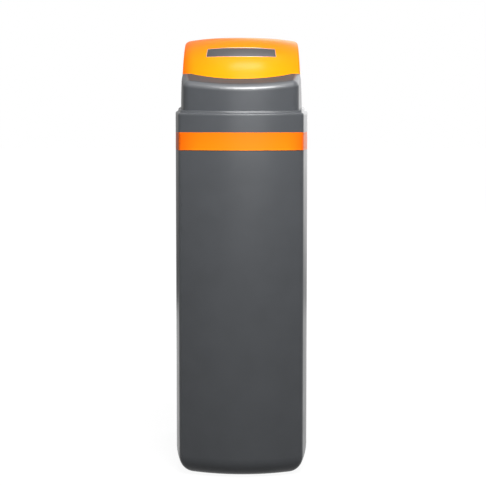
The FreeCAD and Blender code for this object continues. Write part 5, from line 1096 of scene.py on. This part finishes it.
@dataclass
class BoardParts:
    """What is soldered on the circuit board's front: chips, a relay, cans, plugs and small resistors."""

    pin: float = 0.0006
    sink: float = 0.0001
    corner: float = 0.0008
    bevel: float = 0.0004
    blocks: tuple[Block, ...] = (
        Block("processor", (0.0150, 0.0150, 0.0017), -0.030, 0.9785, "black",
              Feet("processor_pins", 14, 0.0010, 0.0080)),
        Block("driver_chip", (0.0100, 0.0055, 0.0015), 0.002, 0.9760, "black",
              Feet("driver_pins", 8, 0.00115, 0.0034)),
        Block("relay", (0.0160, 0.0120, 0.0052), 0.034, 0.9770, "key"),
        Block("clock_crystal", (0.0080, 0.0032, 0.0024), -0.010, 0.9830, "steel"),
        Block("motor_plug", (0.0140, 0.0062, 0.0050), -0.040, 1.0590, "white"),
        Block("meter_plug", (0.0100, 0.0062, 0.0050), -0.018, 1.0590, "white"),
        Block("supply_plug", (0.0120, 0.0076, 0.0052), 0.042, 1.0588, "key"),
    )
    cans: int = 3
    can_radius: float = 0.0034
    can_height: float = 0.0052
    can_start: Span = (0.006, 1.0580)
    can_pitch: float = 0.0095
    groove: Triple = (0.18, 0.24, 0.30)
    rim: float = 0.0003
    dish: float = 0.0002
    resistors: int = 13
    resistor: Triple = (0.0022, 0.0012, 0.0006)
    resistor_start: Span = (-0.046, 1.0125)
    resistor_pitch: float = 0.0075

    @cached_property
    def front(self) -> float:
        """Gives the place of the board's front."""
        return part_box("circuit_board")[0][1]

    def block(self, plan: Block) -> Piece:
        """Makes a moulded block with softened edges, its back on the board's front.

        Args:
            plan: what it is and where.

        Returns:
            The block.
        """
        wide, tall, deep = plan.size
        soft = min(self.bevel, deep / 4)
        outline = rounded(wide, tall, min(self.corner, tall / 4))
        obj = raised(plan.name, outline, softened(deep, soft, soft, self.sink), (plan.x, self.front, plan.z))
        return Piece(obj, plan.slot)

    def pins(self, plan: Block) -> Piece:
        """Makes two rows of a chip's feet, one above and one below its body, as one piece.

        Args:
            plan: the chip.

        Returns:
            The feet.
        """
        feet, made = plan.feet, []
        outline = rounded(self.pin, self.pin * 3, self.pin / 5, steps=2)
        levels = ((0.0, -self.sink), (0.0, self.pin))
        start = plan.x - feet.pitch * (feet.count - 1) / 2
        for z in (plan.z - feet.out, plan.z + feet.out):
            for x in (start + feet.pitch * k for k in range(feet.count)):
                made.append(raised(feet.name, outline, levels, (x, self.front, z)))
        return Piece(welded(joined(feet.name, made)), "steel")

    def capacitors(self) -> list[Piece]:
        """Makes the capacitors: cans with a groove near their foot and a dished top.

        Returns:
            The cans.
        """
        deep, rim, (start, middle, end) = self.can_height, self.rim, self.groove
        levels = ((0.0, -self.sink), (0.0, deep * start), (self.bevel, deep * middle), (0.0, deep * end),
                  (0.0, deep - rim), (rim, deep), (rim + self.bevel, deep), (rim * 3, deep - self.dish))
        x, z = self.can_start
        return [Piece(raised(f"capacitor_{index + 1}", disc(self.can_radius), levels,
                             (x + self.can_pitch * index, self.front, z)), "steel")
                for index in range(self.cans)]

    def build(self) -> list[Piece]:
        """Builds the parts, clear of the display and the keys' stems.

        Returns:
            The pieces.
        """
        pieces = []
        for plan in self.blocks:
            pieces.append(self.block(plan))
            if plan.feet is not None:
                pieces.append(self.pins(plan))
        pieces += self.capacitors()
        x, z = self.resistor_start
        for index in range(self.resistors):
            plan = Block(f"resistor_{index + 1}", self.resistor, x + self.resistor_pitch * index, z, "black")
            pieces.append(self.block(plan))
        return pieces


@dataclass
class ValveTrim:
    """The fine pieces round the valve: the motor's end, the cap's screws and the handles' ribs."""

    boss_radius: float = 0.0052
    boss: Levels = softened(0.0020, 0.0004, 0.0004)
    terminal: Triple = (0.0028, 0.0007, 0.0060)
    terminal_tip: Span = (0.0005, 0.0008)
    terminal_out: float = 0.0095
    cap_screw: float = 0.0030
    cap_screw_out: float = 0.0105
    hub_in: float = 0.015
    rib_size: Triple = (0.0026, 0.0260, 0.0012)
    rib_ahead: float = 0.0270
    rib: Levels = softened(0.0013, 0.0005, 0.0005)
    hub_screw: float = 0.0042

    def motor(self) -> list[Piece]:
        """Builds the boss and the two terminals at the motor's back.

        Returns:
            The pieces.
        """
        _, high, middle = corners(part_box("drive_motor"))
        boss = raised("motor_boss", disc(self.boss_radius), self.boss, (middle.x, high.y, middle.z), BACK)
        wide, thick, long = self.terminal
        outline, levels = rounded(wide, thick, thick / 3, steps=3), softened(long, *self.terminal_tip)
        tabs = [raised(f"motor_terminal_{index + 1}", outline, levels,
                       (middle.x + side * self.terminal_out, high.y, middle.z), BACK)
                for index, side in enumerate((-1, 1))]
        return [Piece(boss, "steel"), *(Piece(tab, "brass") for tab in tabs)]

    def injector(self) -> list[Piece]:
        """Builds the two screws of the injector's cap."""
        _, high, middle = corners(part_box("injector_cap"))
        return [Piece(screw_head(f"injector_screw_{index + 1}", self.cap_screw,
                                 (high.x, middle.y + side * self.cap_screw_out, middle.z), RIGHT), "steel")
                for index, side in enumerate((-1, 1))]

    def handle(self, body: Body) -> list[Piece]:
        """Builds a handle's rib and screw, which ride on it.

        Args:
            body: the handle.

        Returns:
            The pieces.
        """
        _, high, middle = corners(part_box(body.value))
        hub = high.y - self.hub_in
        rib = raised(f"{body.value}_rib", rounded(*self.rib_size), self.rib,
                     (middle.x, hub - self.rib_ahead, high.z), UP)
        screw = screw_head(f"{body.value}_screw", self.hub_screw, (middle.x, hub, high.z), UP)
        return [Piece(rib, "handle", body.value), Piece(screw, "steel", body.value)]

    def build(self) -> list[Piece]:
        """Builds them: the handles' pieces ride on the handles, the rest stands with the cabinet."""
        still = self.motor() + self.injector()
        return still + self.handle(Body.INLET_HANDLE) + self.handle(Body.OUTLET_HANDLE)


@dataclass
class WellTrim:
    """The raised ring and the finger tab on the brine well's cap."""

    ring_radius: float = 0.040
    ring: Levels = ((0.0, -SINK), (0.0004, 0.0010), (0.0010, 0.0013), (0.0016, 0.0010), (0.0020, -SINK))
    tab_size: Triple = (0.026, 0.0032, 0.0014)
    tab: Levels = softened(0.0090, 0.0009, 0.0015)
    tab_ahead: float = 0.024

    def build(self) -> list[Piece]:
        """Builds both, which ride on the cap.

        Returns:
            The pieces.
        """
        _, high, middle = corners(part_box("well_cap"))
        x, y, top = middle.x, middle.y, high.z
        ring = raised("cap_ring", disc(self.ring_radius, steps=64), self.ring, (x, y, top), UP, True)
        tab = raised("cap_tab", rounded(*self.tab_size), self.tab, (x, y - self.tab_ahead, top), UP)
        return [Piece(obj, "white", Body.WELL_CAP.value) for obj in (ring, tab)]


@dataclass(frozen=True)
class Lamp:
    """A soft lamp: name, place, the point that it faces, width and height, and watts."""

    name: str
    place: Triple
    aim: Triple
    size: Span
    power: float

    def hang(self) -> None:
        """Hangs the lamp in the scene."""
        data = bpy.data.lights.new(self.name, "AREA")
        data.shape = "RECTANGLE"
        data.size, data.size_y = self.size
        data.energy = self.power
        lamp = bpy.data.objects.new(self.name, data)
        lamp.location = self.place
        lamp.rotation_euler = (Vector(self.aim) - Vector(self.place)).to_track_quat("-Z", "Y").to_euler()
        bpy.context.collection.objects.link(lamp)


@dataclass
class Studio:
    """The floor, the background, the lamps, and the camera where the photograph's lines put it.

    The wall's size is half its width, how far back it stands, and its height. The pairs of ranges are a
    place and the strength of the light there.
    """

    lamps: tuple[Lamp, ...] = (
        Lamp("key", (0.15, -1.15, 1.75), (0.0, -0.15, 0.95), (0.8, 0.4), 26.0),
        Lamp("overhead", (0.1, -0.75, 2.3), (0.0, -0.2, 1.0), (2.2, 0.5), 8.0),
        Lamp("front_soft", (0.35, -3.0, 1.30), (0.0, -0.2, 0.85), (1.5, 0.6), 30.0),
    )
    floor_half: float = 30.0
    floor_shade: Triple = (0.12, 0.12, 0.12)
    floor_fade: Ramp = ((0.4, 1.2), (0.93, 1.0))
    wall_size: Triple = (5.0, 2.2, 3.2)
    wall_side: Ramp = ((-0.3, 0.25), (0.25, 1.0))
    wall_rise: Ramp = ((0.1, 1.1), (0.7, 2.3))
    sky_side: Ramp = ((-0.10, 0.05), (0.42, 1.2))
    sky_back: Ramp = ((0.55, 0.85), (0.03, 1.0))
    lens: float = 78.41
    shift: float = -0.1291
    eye: Triple = (0.0315, -2.8919, 0.915)
    tilt: float = 3.3
    turn: float = 0.564

    def floor(self) -> None:
        """Lays a pale floor that reads white to the camera and keeps the shadow."""
        half = self.floor_half
        floor = sheet("floor", (-half, -half, 0.0), (half, half, 0.0))
        graph = Graph(bpy.data.materials.new("pale_floor"))
        far = graph.add("ShaderNodeVectorMath", {0: graph.place}, operation="LENGTH").outputs["Value"]
        fade = graph.spread(far, *self.floor_fade)
        matte = graph.add("ShaderNodeBsdfDiffuse", {"Color": self.floor_shade})
        lift = graph.add("ShaderNodeEmission", {"Strength": graph.maths("MULTIPLY", graph.seen(), fade)})
        graph.show(graph.add("ShaderNodeAddShader", {0: matte.outputs[0], 1: lift.outputs[0]}))
        dress(floor, graph.owner)

    def wall(self) -> None:
        """Stands a glowing wall behind, which only reflections see: dim on the left, bright on the right."""
        half, back, top = self.wall_size
        wall = sheet("back_wall", (-half, back, 0.0), (half, back, top))
        graph = Graph(bpy.data.materials.new("wall_glow"))
        side = graph.spread(graph.axis("X"), *self.wall_side, True)
        rise = graph.spread(graph.axis("Z"), *self.wall_rise)
        graph.show(graph.add("ShaderNodeEmission", {"Strength": graph.maths("MULTIPLY", side, rise)}))
        dress(wall, graph.owner)
        wall.visible_camera = False

    def world(self) -> None:
        """Lights everything softly, brighter from the right, and shows the camera white."""
        world = bpy.data.worlds.new("studio")
        bpy.context.scene.world = world
        graph = Graph(world, "Generated")
        side = graph.spread(graph.axis("X"), *self.sky_side)
        behind = graph.spread(graph.axis("Y"), *self.sky_back)
        white = (1.0, 1.0, 1.0)
        glow = {"Color": white, "Strength": graph.maths("MULTIPLY", side, behind)}
        soft = graph.add("ShaderNodeBackground", glow).outputs[0]
        plain = graph.add("ShaderNodeBackground", {"Color": white}).outputs[0]
        mix = graph.add("ShaderNodeMixShader", {"Fac": graph.seen(), 1: soft, 2: plain})
        graph.show(mix, "ShaderNodeOutputWorld")

    def camera(self) -> None:
        """Stands the camera up."""
        data = bpy.data.cameras.new("camera")
        data.sensor_width = 36.0
        data.lens = self.lens
        data.shift_y = self.shift
        camera = bpy.data.objects.new("camera", data)
        camera.location = self.eye
        camera.rotation_euler = (math.radians(90.0 - self.tilt), 0.0, math.radians(self.turn))
        bpy.context.collection.objects.link(camera)
        bpy.context.scene.camera = camera

    def build(self) -> None:
        """Builds the whole studio, with plain colour handling."""
        bpy.context.scene.view_settings.view_transform = "Standard"
        self.floor()
        self.wall()
        self.world()
        for lamp in self.lamps:
            lamp.hang()
        self.camera()


def main() -> None:
    """Builds the scene in order and reports each piece."""
    logging.basicConfig(level=logging.INFO, format="%(message)s")
    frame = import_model()
    Studio().build()
    finish = finishes()
    slots = {part["node"]: part["material_slot"] for part in frame["record"]["subparts"]}
    for node, obj in frame["nodes"].items():
        dress(obj, finish[node if node in finish else slots[node]])
    LOG.info("dressed %d solids", len(frame["nodes"]))
    for part in (LidTrim(), PipeEnds(), Controls(), BoardParts(), ValveTrim(), WellTrim()):
        for piece in part.build():
            dress(piece.obj, finish[piece.finish or piece.slot])
            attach(piece.obj, piece.body)
            LOG.info("%s rides on %s", piece.obj.name, piece.body)


if __name__ == "__main__":
    main()
